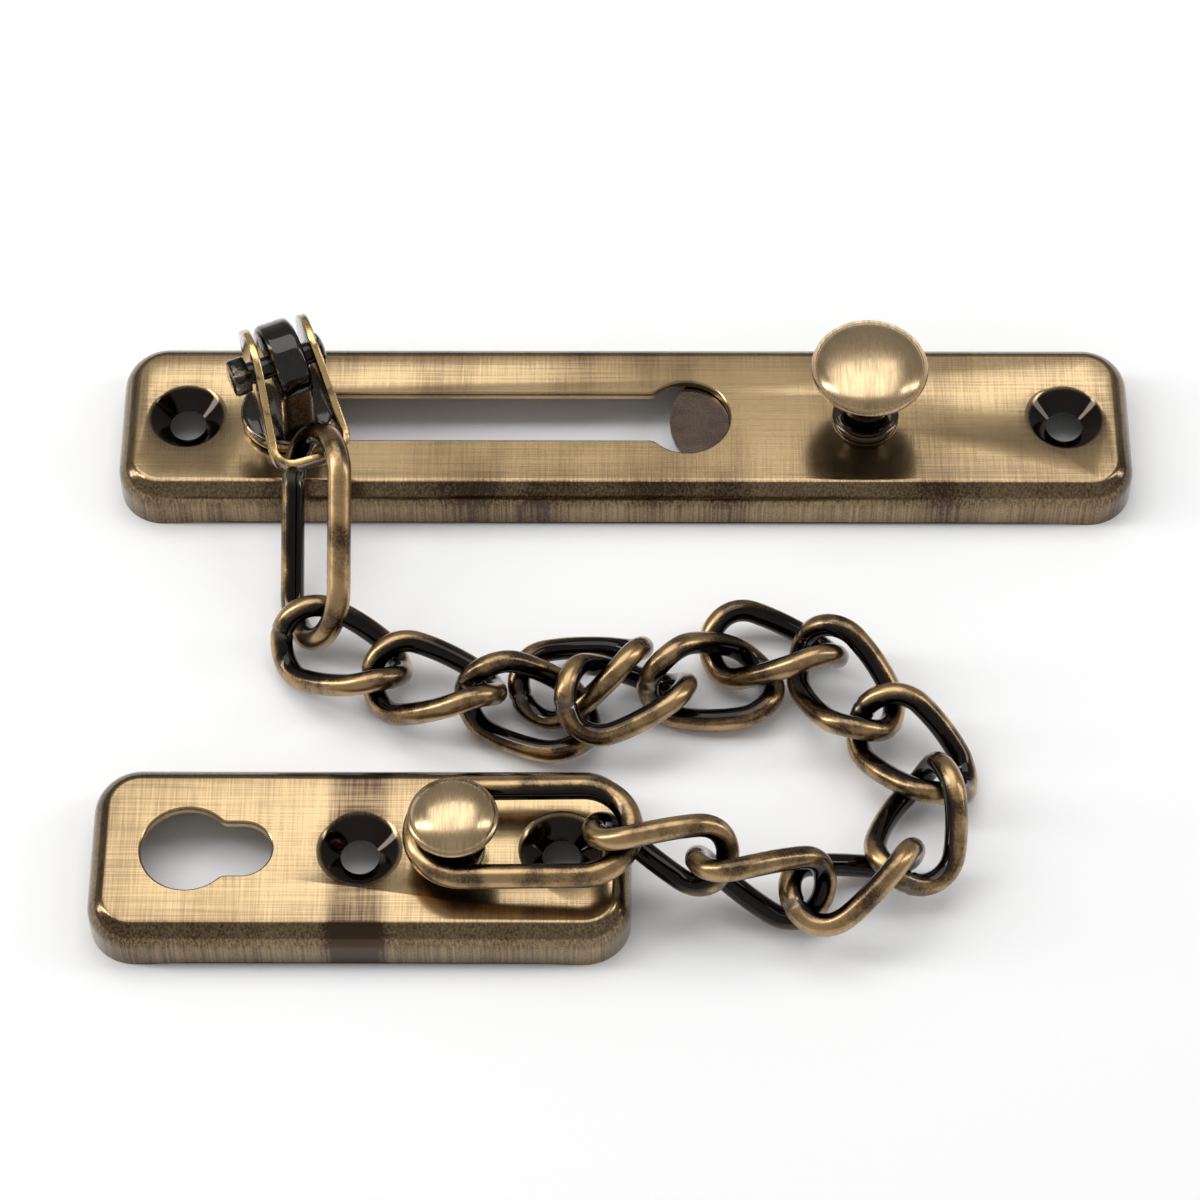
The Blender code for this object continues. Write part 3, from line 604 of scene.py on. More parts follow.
# Blackened brass: the same brass left dark from the bath, under lacquer, so it shines nearly black with
# brown where thin. Casting and tool marks are 0.3 to 1 mm across.
def blackened_brass(name, tone, grain, pitted=0.3):
    made, tree, shader = new_material(name)
    place = add_node(tree, "TexCoord").outputs["Object"]
    cloud = add_node(
        tree, "TexNoise", named={"Vector": place, "Scale": 0.26 / MM, "Detail": 4.0, "Roughness": 0.6},
    )
    pits = add_node(
        tree,
        "TexNoise",
        named={"Vector": place, "Scale": 1 / (grain * MM), "Detail": 3.0, "Roughness": 0.7},
    )
    tree.links.new(
        add_node(
            tree,
            "Mix",
            named={
                0: add_node(tree, "MapRange", cloud, 0.35, 0.7, interpolation_type="SMOOTHSTEP"),
                6: colour(tone[0]),
                7: colour(tone[1]),
            },
            data_type="RGBA",
        ).outputs[2],
        shader.inputs["Base Color"],
    )
    shader.inputs["Metallic"].default_value = 1.0
    tree.links.new(
        add_node(tree, "MapRange", pits, 0.3, 0.7, 0.14, 0.34, interpolation_type="SMOOTHSTEP").outputs[0],
        shader.inputs["Roughness"],
    )
    shader.inputs["Coat Weight"].default_value = 1.0
    shader.inputs["Coat Roughness"].default_value = 0.04
    bump = add_node(tree, "Bump", named={"Strength": pitted, "Distance": 0.00012, "Height": pits})
    tree.links.new(bump.outputs[0], shader.inputs["Normal"])
    return made


# Rubbed brass knob: turned, blackened and polished back on its head, so the dome is pale brass with faint
# turning lines and a few nicks, and the dark gathers toward the lip and under it.
def rubbed_knob(name, axis, lip_radius, lip_height):
    made, tree, shader = new_material(name)
    place = add_node(tree, "TexCoord").outputs["Object"]
    centred = add_node(tree, "VectorMath", named={0: place, 1: axis}, operation="SUBTRACT")
    apart = add_node(tree, "SeparateXYZ", named={0: centred})
    x, y, z = apart.outputs
    across = add_node(
        tree,
        "Math",
        add_node(
            tree, "Math", add_node(tree, "Math", x, x, operation="MULTIPLY"),
            add_node(tree, "Math", y, y, operation="MULTIPLY"), operation="ADD",
        ),
        operation="SQRT",
    )
    upright = add_node(
        tree,
        "TexNoise",
        named={
            "Vector": add_node(
                tree, "Mapping", named={"Vector": place, "Scale": (3.2 / MM, 0.26 / MM, 0.26 / MM)},
            ),
            "Scale": 1.0,
            "Detail": 3.0,
        },
    )
    marks = add_node(
        tree,
        "TexNoise",
        named={
            "Vector": add_node(
                tree,
                "Mapping",
                named={"Vector": place, "Scale": (0.42 / MM, 1.5 / MM, 1.5 / MM), "Rotation": (0, 0, 0.6)},
            ),
            "Scale": 1.0,
            "Detail": 4.0,
            "Roughness": 0.7,
        },
    )
    cloud = add_node(tree, "TexNoise", named={"Vector": place, "Scale": 0.24 / MM, "Detail": 3.0})
    nicks = add_node(tree, "MapRange", marks, 0.68, 0.74, interpolation_type="SMOOTHSTEP")
    rim = add_node(
        tree, "MapRange", across, 0.55 * lip_radius, 1.02 * lip_radius, interpolation_type="SMOOTHSTEP",
    )
    under = add_node(
        tree, "MapRange", z, lip_height, lip_height - 0.8 * MM, interpolation_type="SMOOTHSTEP",
    )
    dark = add_node(
        tree,
        "Math",
        add_node(tree, "Math", rim, 0.30, operation="MULTIPLY"),
        add_node(
            tree,
            "Math",
            add_node(tree, "MapRange", cloud, 0.4, 0.75, interpolation_type="SMOOTHSTEP"),
            0.22,
            operation="MULTIPLY",
        ),
        operation="ADD",
    )
    dark = add_node(
        tree,
        "Math",
        dark,
        add_node(tree, "MapRange", upright, 0.3, 0.7, -0.14, 0.16, interpolation_type="SMOOTHSTEP"),
        operation="ADD",
    )
    dark = add_node(
        tree, "Math", dark, add_node(tree, "Math", nicks, 0.45, operation="MULTIPLY"), operation="ADD",
    )
    dark = add_node(tree, "Math", dark, under, operation="ADD", use_clamp=True)
    tree.links.new(
        add_node(
            tree,
            "Mix",
            named={
                0: under,
                6: add_node(
                    tree,
                    "Mix",
                    named={0: dark, 6: colour("#cbb088"), 7: colour("#6b5336")},
                    data_type="RGBA",
                ).outputs[2],
                7: colour("#21170d"),
            },
            data_type="RGBA",
        ).outputs[2],
        shader.inputs["Base Color"],
    )
    shader.inputs["Metallic"].default_value = 1.0
    tree.links.new(
        add_node(
            tree, "MapRange", upright, 0.3, 0.7, 0.20, 0.32, interpolation_type="SMOOTHSTEP",
        ).outputs[0],
        shader.inputs["Roughness"],
    )
    shader.inputs["Coat Weight"].default_value = 0.4
    shader.inputs["Coat Roughness"].default_value = 0.05
    height = add_node(
        tree, "Math", add_node(tree, "Math", upright, 0.25, operation="MULTIPLY"), nicks,
        operation="SUBTRACT",
    )
    bump = add_node(tree, "Bump", named={"Strength": 0.25, "Distance": 0.00006, "Height": height})
    tree.links.new(bump.outputs[0], shader.inputs["Normal"])
    return made


def knob_profile(head, crown, lip, neck, foot, stem):
    """A mushroom's side: a flattened dome, a round lip, a cupped underside and a waisted neck."""
    bead = 0.055 * head
    dome = [(0, crown)] + [
        ((head / 2 - 0.5 * bead) * sin(t), lip + (crown - lip) * cos(t))
        for t in np.linspace(0.12, 1.38, 22)
    ]
    centre = (head / 2 - bead, lip - 0.1 * bead)
    edge = [
        (centre[0] + bead * cos(t), centre[1] + bead * sin(t))
        for t in np.linspace(radians(38), radians(-85), 10)
    ]
    flare = [
        (
            neck / 2 + (edge[-1][0] - neck / 2) * (1 - s) ** 1.7,
            edge[-1][1] - (edge[-1][1] - foot) * 0.62 * s,
        )
        for s in np.linspace(0.12, 1, 12)
    ]
    return dome + edge + flare + [(neck / 2, foot), (stem / 2, foot)]


button_low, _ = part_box("release_button")
knob_axis = Vector((slide_left + BUTTON_AT, slide_centre.y, FACE))
COLLAR_TOP = 1.5 * MM
BUTTON_TRAVEL, BUTTON_CLEAR = 1.8 * MM, 0.3 * MM
BUTTON_FOOT = COLLAR_TOP + BUTTON_TRAVEL + BUTTON_CLEAR
KNOB_HEAD, KNOB_NECK, KNOB_STEM = 17.1 * MM, 7.2 * MM, 5.0 * MM
KNOB_CROWN, KNOB_LIP = 14.6 * MM, 12.2 * MM
button_side = knob_profile(KNOB_HEAD, KNOB_CROWN, KNOB_LIP, KNOB_NECK, BUTTON_FOOT, KNOB_STEM)
grooves = [
    (3.6 * MM, BUTTON_FOOT + 1.5 * MM),
    (3.3 * MM, BUTTON_FOOT + 1.3 * MM),
    (3.3 * MM, BUTTON_FOOT + 1.1 * MM),
    (3.6 * MM, BUTTON_FOOT + 0.9 * MM),
]
button_side[-2:-2] = grooves
button_side += [
    (KNOB_STEM / 2, -SHEET), (1.5 * MM, -SHEET), (1.5 * MM, button_low.z - FACE), (0, button_low.z - FACE),
]
button_brass = rubbed_knob("rubbed_brass_release_knob", tuple(knob_axis), KNOB_HEAD / 2, KNOB_LIP)
mesh = turn_profile("release_knob", button_side, 128)
mesh.transform(Matrix.Translation(knob_axis))
mesh.set_sharp_from_angle(angle=radians(38))
as_piece("turned_release_knob", mesh, button_brass, "button", "rubbed_brass", "release_button")

black_collar = blackened_brass("lacquered_black_brass_fittings", ("#2a1d11", "#4a3620"), 0.5)
COLLAR_BORE, COLLAR_RIM = 2.7 * MM, 4.9 * MM
collar_side = [
    (COLLAR_BORE, COLLAR_TOP), (COLLAR_RIM - 0.9 * MM, COLLAR_TOP),
    (COLLAR_RIM - 0.6 * MM, COLLAR_TOP - 0.12 * MM), (COLLAR_RIM - 0.5 * MM, COLLAR_TOP - 0.5 * MM),
    (COLLAR_RIM - 0.15 * MM, COLLAR_TOP - 0.6 * MM), (COLLAR_RIM, COLLAR_TOP - 0.8 * MM),
    (COLLAR_RIM, 0.2 * MM), (3.5 * MM, 0.2 * MM), (3.3 * MM, -1.2 * MM), (COLLAR_BORE, -1.2 * MM),
]
mesh = loft(
    "collar",
    [[(r * cos(2 * pi * k / 96), r * sin(2 * pi * k / 96), z) for k in range(96)] for r, z in collar_side],
    True,
)
mesh.transform(Matrix.Translation(knob_axis))
mesh.set_sharp_from_angle(angle=radians(38))
as_piece("knob_collar", mesh, black_collar, "slide_plate", "black_brass", "button_collar")

# Dark rolled strip: the leaf is left as it came from the bath, brown-grey with faint rolling lines.
leaf_brass = blackened_brass("dark_rolled_brass_leaf", ("#4a3d34", "#5c4d41"), 0.25, 0.08)


def keep(node, material):
    """Gives a CAD node that is shown as it is its finish."""
    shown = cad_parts[node]
    shown.data.materials.clear()
    shown.data.materials.append(material)


keep("latch_leaf", leaf_brass)
keep("button_clip", black_collar)


# ---- Slider: stud, lug and pin
# A cast brass lug stands on a round flange and turns on the headed stud that runs in the slot; a rivet
# through it carries the strap. All three are blackened, with brass rubbed bright along the lug's edges.

# Cast black brass: a sand-cast skin under thick lacquer, with small pits about 0.8 mm apart, and brass
# showing through where edges have rubbed.
def cast_black(name, rubbed_from, rubbed_to):
    made, tree, shader = new_material(name)
    place = add_node(tree, "TexCoord").outputs["Object"]
    edge = add_node(tree, "Attribute", attribute_name="rubbed").outputs["Fac"]
    cloud = add_node(
        tree, "TexNoise", named={"Vector": place, "Scale": 0.7 / MM, "Detail": 4.0, "Roughness": 0.65},
    )
    pits = add_node(tree, "TexVoronoi", named={"Vector": place, "Scale": 0.7 / MM})
    skin = add_node(tree, "TexNoise", named={"Vector": place, "Scale": 1.5 / MM, "Detail": 3.0})
    torn = add_node(
        tree,
        "Math",
        edge,
        add_node(tree, "MapRange", cloud, 0.3, 0.7, -0.28, 0.22, interpolation_type="SMOOTHSTEP"),
        operation="ADD",
    )
    rubbed = add_node(tree, "MapRange", torn, rubbed_from, rubbed_to, interpolation_type="SMOOTHSTEP")
    dark = add_node(
        tree, "Mix", named={0: cloud, 6: colour("#16120f"), 7: colour("#2c241c")}, data_type="RGBA",
    ).outputs[2]
    tree.links.new(
        add_node(
            tree, "Mix", named={0: rubbed, 6: dark, 7: colour("#b18d56")}, data_type="RGBA",
        ).outputs[2],
        shader.inputs["Base Color"],
    )
    shader.inputs["Metallic"].default_value = 1.0
    tree.links.new(
        add_node(tree, "MapRange", skin, 0.3, 0.7, 0.16, 0.38, interpolation_type="SMOOTHSTEP").outputs[0],
        shader.inputs["Roughness"],
    )
    shader.inputs["Coat Weight"].default_value = 1.0
    shader.inputs["Coat Roughness"].default_value = 0.05
    height = add_node(
        tree,
        "Math",
        add_node(tree, "MapRange", pits, 0.0, 0.22, interpolation_type="SMOOTHSTEP"),
        add_node(tree, "Math", skin, 0.5, operation="MULTIPLY"),
        operation="ADD",
    )
    bump = add_node(tree, "Bump", named={"Strength": 0.28, "Distance": 0.00012, "Height": height})
    tree.links.new(bump.outputs[0], shader.inputs["Normal"])
    return made


def set_rubbed(mesh, values):
    """Stores how rubbed each vertex is, from 0 to 1."""
    layer = mesh.attributes.new("rubbed", "FLOAT", "POINT")
    layer.data.foreach_set("value", np.clip(np.asarray(values, dtype=np.float32), 0, 1))


slide_axis = Vector((slide_left + SLOT_FROM, slide_centre.y, FACE))
LUG_TURN = radians(24)
PIN_HEIGHT = 13.5 * MM
LUG_THICK, LUG_RADIUS, LUG_NECK = 5.0 * MM, 6.1 * MM, 10.2 * MM
FLANGE_FOOT, FLANGE_TOP, FLANGE_RADIUS = 0.3 * MM, 2.1 * MM, 7.0 * MM


def lug_mesh():
    """The upright tongue: a round-topped slab with softened edges, as rings across its thickness."""
    rise = [
        (LUG_RADIUS * cos(t), PIN_HEIGHT + LUG_RADIUS * sin(t))
        for t in np.linspace(radians(-12), radians(192), 56)
    ]
    side = [(-LUG_NECK / 2, FLANGE_FOOT + 0.9 * MM), (LUG_NECK / 2, FLANGE_FOOT + 0.9 * MM)]
    steps = 6
    left = [
        (
            rise[-1][0] + (side[0][0] - rise[-1][0]) * k / steps,
            rise[-1][1] + (side[0][1] - rise[-1][1]) * k / steps,
        )
        for k in range(1, steps + 1)
    ]
    right = [
        (
            side[1][0] + (rise[0][0] - side[1][0]) * k / steps,
            side[1][1] + (rise[0][1] - side[1][1]) * k / steps,
        )
        for k in range(steps)
    ]
    outline = np.array(rise + left + right)
    inward = np.array([(0, PIN_HEIGHT * 0.62)]) - outline
    inward /= np.linalg.norm(inward, axis=1)[:, None]
    edge = 1.1 * MM
    rings, rubbed = [], []
    for t in np.linspace(0, pi, 15):
        across = -cos(t)
        bend = 1 - min(1, (1 - abs(across)) * 3.2)
        inset = edge * (1 - sqrt(max(0, 1 - bend * bend))) * 0.9
        thick = LUG_THICK / 2 * (across if abs(across) < 0.999 else np.sign(across))
        ring = outline + inward * inset
        rings.append([(thick, y, z) for y, z in ring])
        rubbed += [0.85 * bend if y < 0.5 * MM else 0.35 * bend for y, z in ring]
    mesh = loft("lug", rings)
    set_rubbed(mesh, rubbed)
    return mesh


turned_lug = Matrix.Translation(slide_axis) @ Matrix.Rotation(LUG_TURN, 4, "Z")
lug_black = cast_black("cast_black_brass_lug", 0.45, 0.85)
mesh = lug_mesh()
mesh.transform(turned_lug)
mesh.set_sharp_from_angle(angle=radians(40))
as_piece("cast_lug_tongue", mesh, lug_black, "lug", "black_brass", "swivel_lug")

flange_side = [
    (0, FLANGE_TOP + 0.1 * MM), (3.0 * MM, FLANGE_TOP + 0.1 * MM), (5.8 * MM, FLANGE_TOP),
    (6.4 * MM, FLANGE_TOP - 0.08 * MM), (6.8 * MM, FLANGE_TOP - 0.3 * MM),
    (FLANGE_RADIUS, FLANGE_TOP - 0.65 * MM), (FLANGE_RADIUS, FLANGE_FOOT + 0.3 * MM),
    (6.8 * MM, FLANGE_FOOT), (0, FLANGE_FOOT),
]
mesh = turn_profile("flange", flange_side, 96)
set_rubbed(mesh, [0.0 if hypot(v.co.x, v.co.y) < 6.5 * MM else 0.62 for v in mesh.vertices])
mesh.transform(turned_lug)
mesh.set_sharp_from_angle(angle=radians(50))
as_piece(
    "lug_flange", mesh, cast_black("cast_black_brass_flange", 0.42, 0.72), "lug", "black_brass",
    "swivel_lug",
)

EAR_AT = 4.85 * MM + 0.7 * MM
PIN_RADIUS, PIN_HEAD_HALF, PIN_HEAD_LONG = 1.7 * MM, 2.35 * MM, 2.6 * MM


def pin_meshes():
    """The rivet along X: a squarish head left, a plain shank, a low round set end right."""
    head = []
    side = (
        (0, 0.94),
        (0.25 * MM, 1.0),
        (PIN_HEAD_LONG - 0.45 * MM, 1.0),
        (PIN_HEAD_LONG - 0.12 * MM, 0.93),
        (PIN_HEAD_LONG, 0.78),
    )
    for reach, grow in side:
        ring = []
        for k in range(48):
            t = 2 * pi * k / 48
            stretch = 1 / max(abs(cos(t)) ** 5 + abs(sin(t)) ** 5, 1e-6) ** 0.2
            ring.append(
                (
                    -EAR_AT - reach,
                    0.93 * PIN_HEAD_HALF * grow * stretch * cos(t),
                    PIN_HEAD_HALF * grow * stretch * sin(t),
                )
            )
        head.append(ring)
    shank = turn_profile(
        "shank",
        [
            (0, EAR_AT + 0.7 * MM), (1.5 * MM, EAR_AT + 0.66 * MM), (2.2 * MM, EAR_AT + 0.45 * MM),
            (2.5 * MM, EAR_AT + 0.2 * MM), (2.5 * MM, EAR_AT), (PIN_RADIUS, EAR_AT), (PIN_RADIUS, -EAR_AT),
            (0, -EAR_AT),
        ],
        64,
    )
    shank.transform(Matrix.Rotation(pi / 2, 4, "Y"))
    return loft("pin_head", head), shank


pin_place = Matrix.Translation(slide_axis + Vector((0, 0, PIN_HEIGHT))) @ Matrix.Rotation(LUG_TURN, 4, "Z")
pin_black = cast_black("rubbed_black_brass_pin", 0.45, 0.9)
for name, mesh in zip(("rivet_head", "rivet_shank"), pin_meshes()):
    set_rubbed(mesh, [0.55 if v.co.x < -EAR_AT - 2.0 * MM else 0.25 for v in mesh.vertices])
    mesh.transform(pin_place)
    mesh.set_sharp_from_angle(angle=radians(38))
    as_piece(name, mesh, pin_black, "lug", "black_brass", "strap_pin")
keep("slide_stud", black_collar)


# ---- Strap
# Stamped from 1.1 mm brass strip and bent to a U: two round ears on the rivet, narrowing to a web in
# front that holds the long link. Its flat sides are dark brown and its cut edges are rubbed bright.
STRAP_SHEET, STRAP_LONG = 1.1 * MM, 16.1 * MM
STRAP_TOP, STRAP_FOOT = 9.7 * MM, 11.8 * MM
EAR, WEB, BEND = 6.0 * MM, 4.2 * MM, 2.6 * MM
strap_turn, STRAP_DROP = LUG_TURN + radians(-4.5), radians(21)


def strap_mesh():
    """The bent strip: its middle surface, thickened, with rounded cut edges."""
    half = STRAP_SHEET / 2
    top, foot, reach = STRAP_TOP / 2 - half, STRAP_FOOT / 2 - half, STRAP_LONG - half
    straight = reach - BEND
    rows = [(-top, -EAR * cos(t), EAR * sin(t)) for t in np.linspace(radians(8), radians(90), 18)]
    for share in np.linspace(0.05, 1.0, 22):
        ease = share * share * (3 - 2 * share)
        rows.append((-top - (foot - top) * share, straight * share, EAR + (WEB / 2 - EAR) * ease))
    rows += [
        (BEND - foot + BEND * cos(t), straight + BEND * sin(t), WEB / 2)
        for t in np.linspace(pi, pi / 2, 12)[1:]
    ]
    rows += [(x, reach, WEB / 2) for x in np.linspace(BEND - foot, 0, 4)[1:]]
    rows += [(-x, s, w) for x, s, w in rows[-2::-1]]
    spots = np.array([(x, s) for x, s, _ in rows])
    ahead = np.gradient(spots, axis=0)
    ahead /= np.linalg.norm(ahead, axis=1)[:, None]
    outward = np.stack([-ahead[:, 1], ahead[:, 0]], axis=1)
    corner = 0.3 * MM
    section = []
    for sx, sw in ((1, 1), (-1, 1), (-1, -1), (1, -1)):
        start = {(1, 1): 0, (-1, 1): 1, (-1, -1): 2, (1, -1): 3}[(sx, sw)] * pi / 2
        section += [
            (sx, sw, corner * cos(start + k * pi / 8), corner * sin(start + k * pi / 8)) for k in range(5)
        ]
    rings, rubbed = [], []
    for (x, s, w), side in zip(rows, outward):
        ring = []
        for sx, sw, cx, cw in section:
            offset = sx * (half - corner) + cx
            ring.append(
                (x + side[0] * offset, s + side[1] * offset, sw * (max(w, 2 * corner) - corner) + cw)
            )
            rubbed.append(0.98 if abs(cw) > 0.4 * corner else 0.62 if sx > 0 else 0.30)
        rings.append(ring)
    mesh = loft("strap", rings)
    set_rubbed(mesh, rubbed)
    return mesh


across_strap = Vector((cos(strap_turn), sin(strap_turn), 0))
down_strap = Vector((sin(strap_turn), -cos(strap_turn), 0)) * cos(STRAP_DROP) - Vector(
    (0, 0, sin(STRAP_DROP))
)
strap_axes = Matrix((across_strap, down_strap, across_strap.cross(down_strap))).transposed().to_4x4()
strap_place = Matrix.Translation(slide_axis + Vector((0, 0, PIN_HEIGHT))) @ strap_axes


# Rubbed stamping: dark brown lacquered sides with brushed-off patches, bright brass along the cut edges.
def rubbed_stamping(name):
    made, tree, shader = new_material(name)
    place = add_node(tree, "TexCoord").outputs["Object"]
    edge = add_node(tree, "Attribute", attribute_name="rubbed").outputs["Fac"]
    cloud = add_node(
        tree, "TexNoise", named={"Vector": place, "Scale": 0.33 / MM, "Detail": 4.0, "Roughness": 0.6},
    )
    fine = add_node(tree, "TexNoise", named={"Vector": place, "Scale": 2.2 / MM, "Detail": 3.0})
    torn = add_node(
        tree,
        "Math",
        edge,
        add_node(tree, "MapRange", cloud, 0.3, 0.7, -0.30, 0.28, interpolation_type="SMOOTHSTEP"),
        operation="ADD",
    )
    side = add_node(
        tree,
        "Mix",
        named={
            0: add_node(tree, "MapRange", torn, 0.2, 0.75, interpolation_type="SMOOTHSTEP"),
            6: colour("#23180f"),
            7: colour("#836540"),
        },
        data_type="RGBA",
    ).outputs[2]
    tree.links.new(
        add_node(
            tree,
            "Mix",
            named={
                0: add_node(tree, "MapRange", torn, 0.72, 1.0, interpolation_type="SMOOTHSTEP"),
                6: side,
                7: colour("#d8b579"),
            },
            data_type="RGBA",
        ).outputs[2],
        shader.inputs["Base Color"],
    )
    shader.inputs["Metallic"].default_value = 1.0
    tree.links.new(
        add_node(tree, "MapRange", fine, 0.3, 0.7, 0.18, 0.34, interpolation_type="SMOOTHSTEP").outputs[0],
        shader.inputs["Roughness"],
    )
    shader.inputs["Coat Weight"].default_value = 0.9
    shader.inputs["Coat Roughness"].default_value = 0.05
    bump = add_node(tree, "Bump", named={"Strength": 0.15, "Distance": 0.00006, "Height": fine})
    tree.links.new(bump.outputs[0], shader.inputs["Normal"])
    return made


mesh = strap_mesh()
mesh.transform(strap_place)
as_piece("stamped_strap", mesh, rubbed_stamping("rubbed_brass_strap"), "strap", "black_brass", "strap")


# ---- Chain
# Links bent from 3.3 mm brass wire, welded, and twisted half over so that the chain lies flat; a long
# plain link at each end. Blackened in the bath, then tumbled, which rubs brass through on their outsides.

def link_line(length, width, wire, twist, steps):
    """The middle line of a link: a long ring, its two ends turned opposite ways about its length."""
    reach, half = (length - wire) / 2, (width - wire) / 2
    side = reach - half
    around = 4 * side + 2 * pi * half
    points = []
    for k in range(steps):
        s = around * k / steps
        end, s = (1, s) if s < around / 2 else (-1, s - around / 2)
        turn = min(max((s - side) / half, 0), pi)
        x = side + half * sin(turn) if 0 < turn < pi else min(s, around / 2 - s)
        y = half * cos(turn)
        roll = twist * end * x / reach
        points.append((end * x, end * y * cos(roll), end * y * sin(roll)))
    return np.array(points)


def link_mesh(line, wire, weld, sides=20):
    """Round wire round the line, with a weld: a swelling and a fine uneven notch at one place."""
    steps = len(line)
    ahead = np.roll(line, -1, 0) - np.roll(line, 1, 0)
    ahead /= np.linalg.norm(ahead, axis=1)[:, None]
    out = line / np.linalg.norm(line, axis=1)[:, None]
    out -= (out * ahead).sum(1)[:, None] * ahead
    out /= np.linalg.norm(out, axis=1)[:, None]
    up = np.cross(ahead, out)
    rings, rough = [], []
    for k in range(steps):
        off = (k - weld * steps + steps / 2) % steps - steps / 2
        swell = 0.02 * np.exp(-(off / 2.6) ** 2) - 0.10 * np.exp(-(off / 0.55) ** 2)
        ring = []
        for n in range(sides):
            t = 2 * pi * n / sides
            wave = 0.03 * sin(3 * t + k) * np.exp(-(off / 2.0) ** 2)
            ring.append(line[k] + wire / 2 * (1 + swell + wave) * (cos(t) * out[k] + sin(t) * up[k]))
            rough.append(np.exp(-(off / 1.4) ** 2))
        rings.append(ring)
    return rings, rough


def worn_outsides(points, reach):
    """How rubbed each point is: 1 on the link's hull, 0 a reach inside it."""
    shape = bmesh.new()
    for point in points:
        shape.verts.new(point)
    bmesh.ops.convex_hull(shape, input=shape.verts)
    hull = BVHTree.FromBMesh(shape)
    rubbed = [1 - hull.find_nearest(Vector(p))[3] / reach for p in points]
    shape.free()
    return np.clip(rubbed, 0, 1)


def link_pose(node):
    """A link's pose, from the spread of its CAD node's points: longest way X, next Y."""
    co = np.array([v.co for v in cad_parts[node].data.vertices])
    middle = co.mean(0)
    _, ways = np.linalg.eigh(np.cov((co - middle).T))
    x, y = ways[:, 2], ways[:, 1]
    return Matrix.Translation(middle) @ Matrix(np.array((x, y, np.cross(x, y))).T.tolist()).to_4x4()


# Tumbled wire: nearly black brown in the hollows, brown then warm brass on the rubbed outsides, glossy
# lacquer over all. Draw lines along the wire are about 0.2 mm apart; the weld is bare and rough.
def tumbled_wire(name):
    made, tree, shader = new_material(name)
    place = add_node(tree, "TexCoord").outputs["Object"]
    edge = add_node(tree, "Attribute", attribute_name="rubbed").outputs["Fac"]
    weld = add_node(tree, "Attribute", attribute_name="welded").outputs["Fac"]
    cloud = add_node(
        tree, "TexNoise", named={"Vector": place, "Scale": 0.17 / MM, "Detail": 3.0, "Roughness": 0.55},
    )
    fine = add_node(tree, "TexNoise", named={"Vector": place, "Scale": 3.0 / MM, "Detail": 2.0})
    torn = add_node(
        tree,
        "Math",
        edge,
        add_node(tree, "MapRange", cloud, 0.3, 0.7, -0.22, 0.18, interpolation_type="SMOOTHSTEP"),
        operation="ADD",
    )
    torn = add_node(
        tree,
        "Math",
        torn,
        add_node(tree, "MapRange", fine, 0.3, 0.7, -0.05, 0.05, interpolation_type="SMOOTHSTEP"),
        operation="ADD",
    )
    brown = add_node(
        tree,
        "Mix",
        named={
            0: add_node(tree, "MapRange", torn, 0.34, 0.80, interpolation_type="SMOOTHSTEP"),
            6: colour("#140e09"),
            7: colour("#43321f"),
        },
        data_type="RGBA",
    ).outputs[2]
    wire = add_node(
        tree,
        "Mix",
        named={
            0: add_node(tree, "MapRange", torn, 0.72, 1.18, interpolation_type="SMOOTHSTEP"),
            6: brown,
            7: colour("#b49467"),
        },
        data_type="RGBA",
    ).outputs[2]
    tree.links.new(
        add_node(
            tree,
            "Mix",
            named={
                0: add_node(tree, "Math", weld, cloud, operation="MULTIPLY"), 6: wire, 7: colour("#8d8478"),
            },
            data_type="RGBA",
        ).outputs[2],
        shader.inputs["Base Color"],
    )
    shader.inputs["Metallic"].default_value = 1.0
    tree.links.new(
        add_node(tree, "MapRange", torn, 0.3, 1.0, 0.14, 0.30, interpolation_type="SMOOTHSTEP").outputs[0],
        shader.inputs["Roughness"],
    )
    shader.inputs["Coat Weight"].default_value = 0.5
    shader.inputs["Coat Roughness"].default_value = 0.04
    height = add_node(
        tree,
        "Math",
        fine,
        add_node(
            tree,
            "Math",
            weld,
            add_node(tree, "TexNoise", named={"Vector": place, "Scale": 1.4 / MM, "Detail": 4.0}),
            operation="MULTIPLY",
        ),
        operation="ADD",
    )
    bump = add_node(tree, "Bump", named={"Strength": 0.12, "Distance": 0.00008, "Height": height})
    tree.links.new(bump.outputs[0], shader.inputs["Normal"])
    return made


WIRE, LONG_WIRE = 3.23 * MM, 3.45 * MM
wire_brass = tumbled_wire("tumbled_antique_brass_wire")
LINKS = {"slider_link": (33.3 * MM, 17.2 * MM, LONG_WIRE, 0.0, "slider_link"),
         "keeper_link": (33.3 * MM, 17.2 * MM, LONG_WIRE, 0.0, "keeper_link")}
for number in range(1, 14):
    LINKS[f"chain_link_{number:02d}"] = (22.0 * MM, 14.3 * MM, WIRE, radians(-47), f"link_{number:02d}")
for node, (length, width, wire, twist, body) in LINKS.items():
    line = link_line(length, width, wire, twist, 112)
    rings, rough = link_mesh(line, wire, 0.12 if twist == 0 else 0.25)
    mesh = loft(node, rings, True)
    points = [tuple(p) for ring in rings for p in ring]
    set_rubbed(mesh, worn_outsides(points, 0.75 * MM if twist else 1.0 * MM))
    layer = mesh.attributes.new("welded", "FLOAT", "POINT")
    layer.data.foreach_set("value", np.array(rough, dtype=np.float32))
    mesh.transform(link_pose(node))
    as_piece(f"wire_{node}", mesh, wire_brass, body, "chain_brass", node)


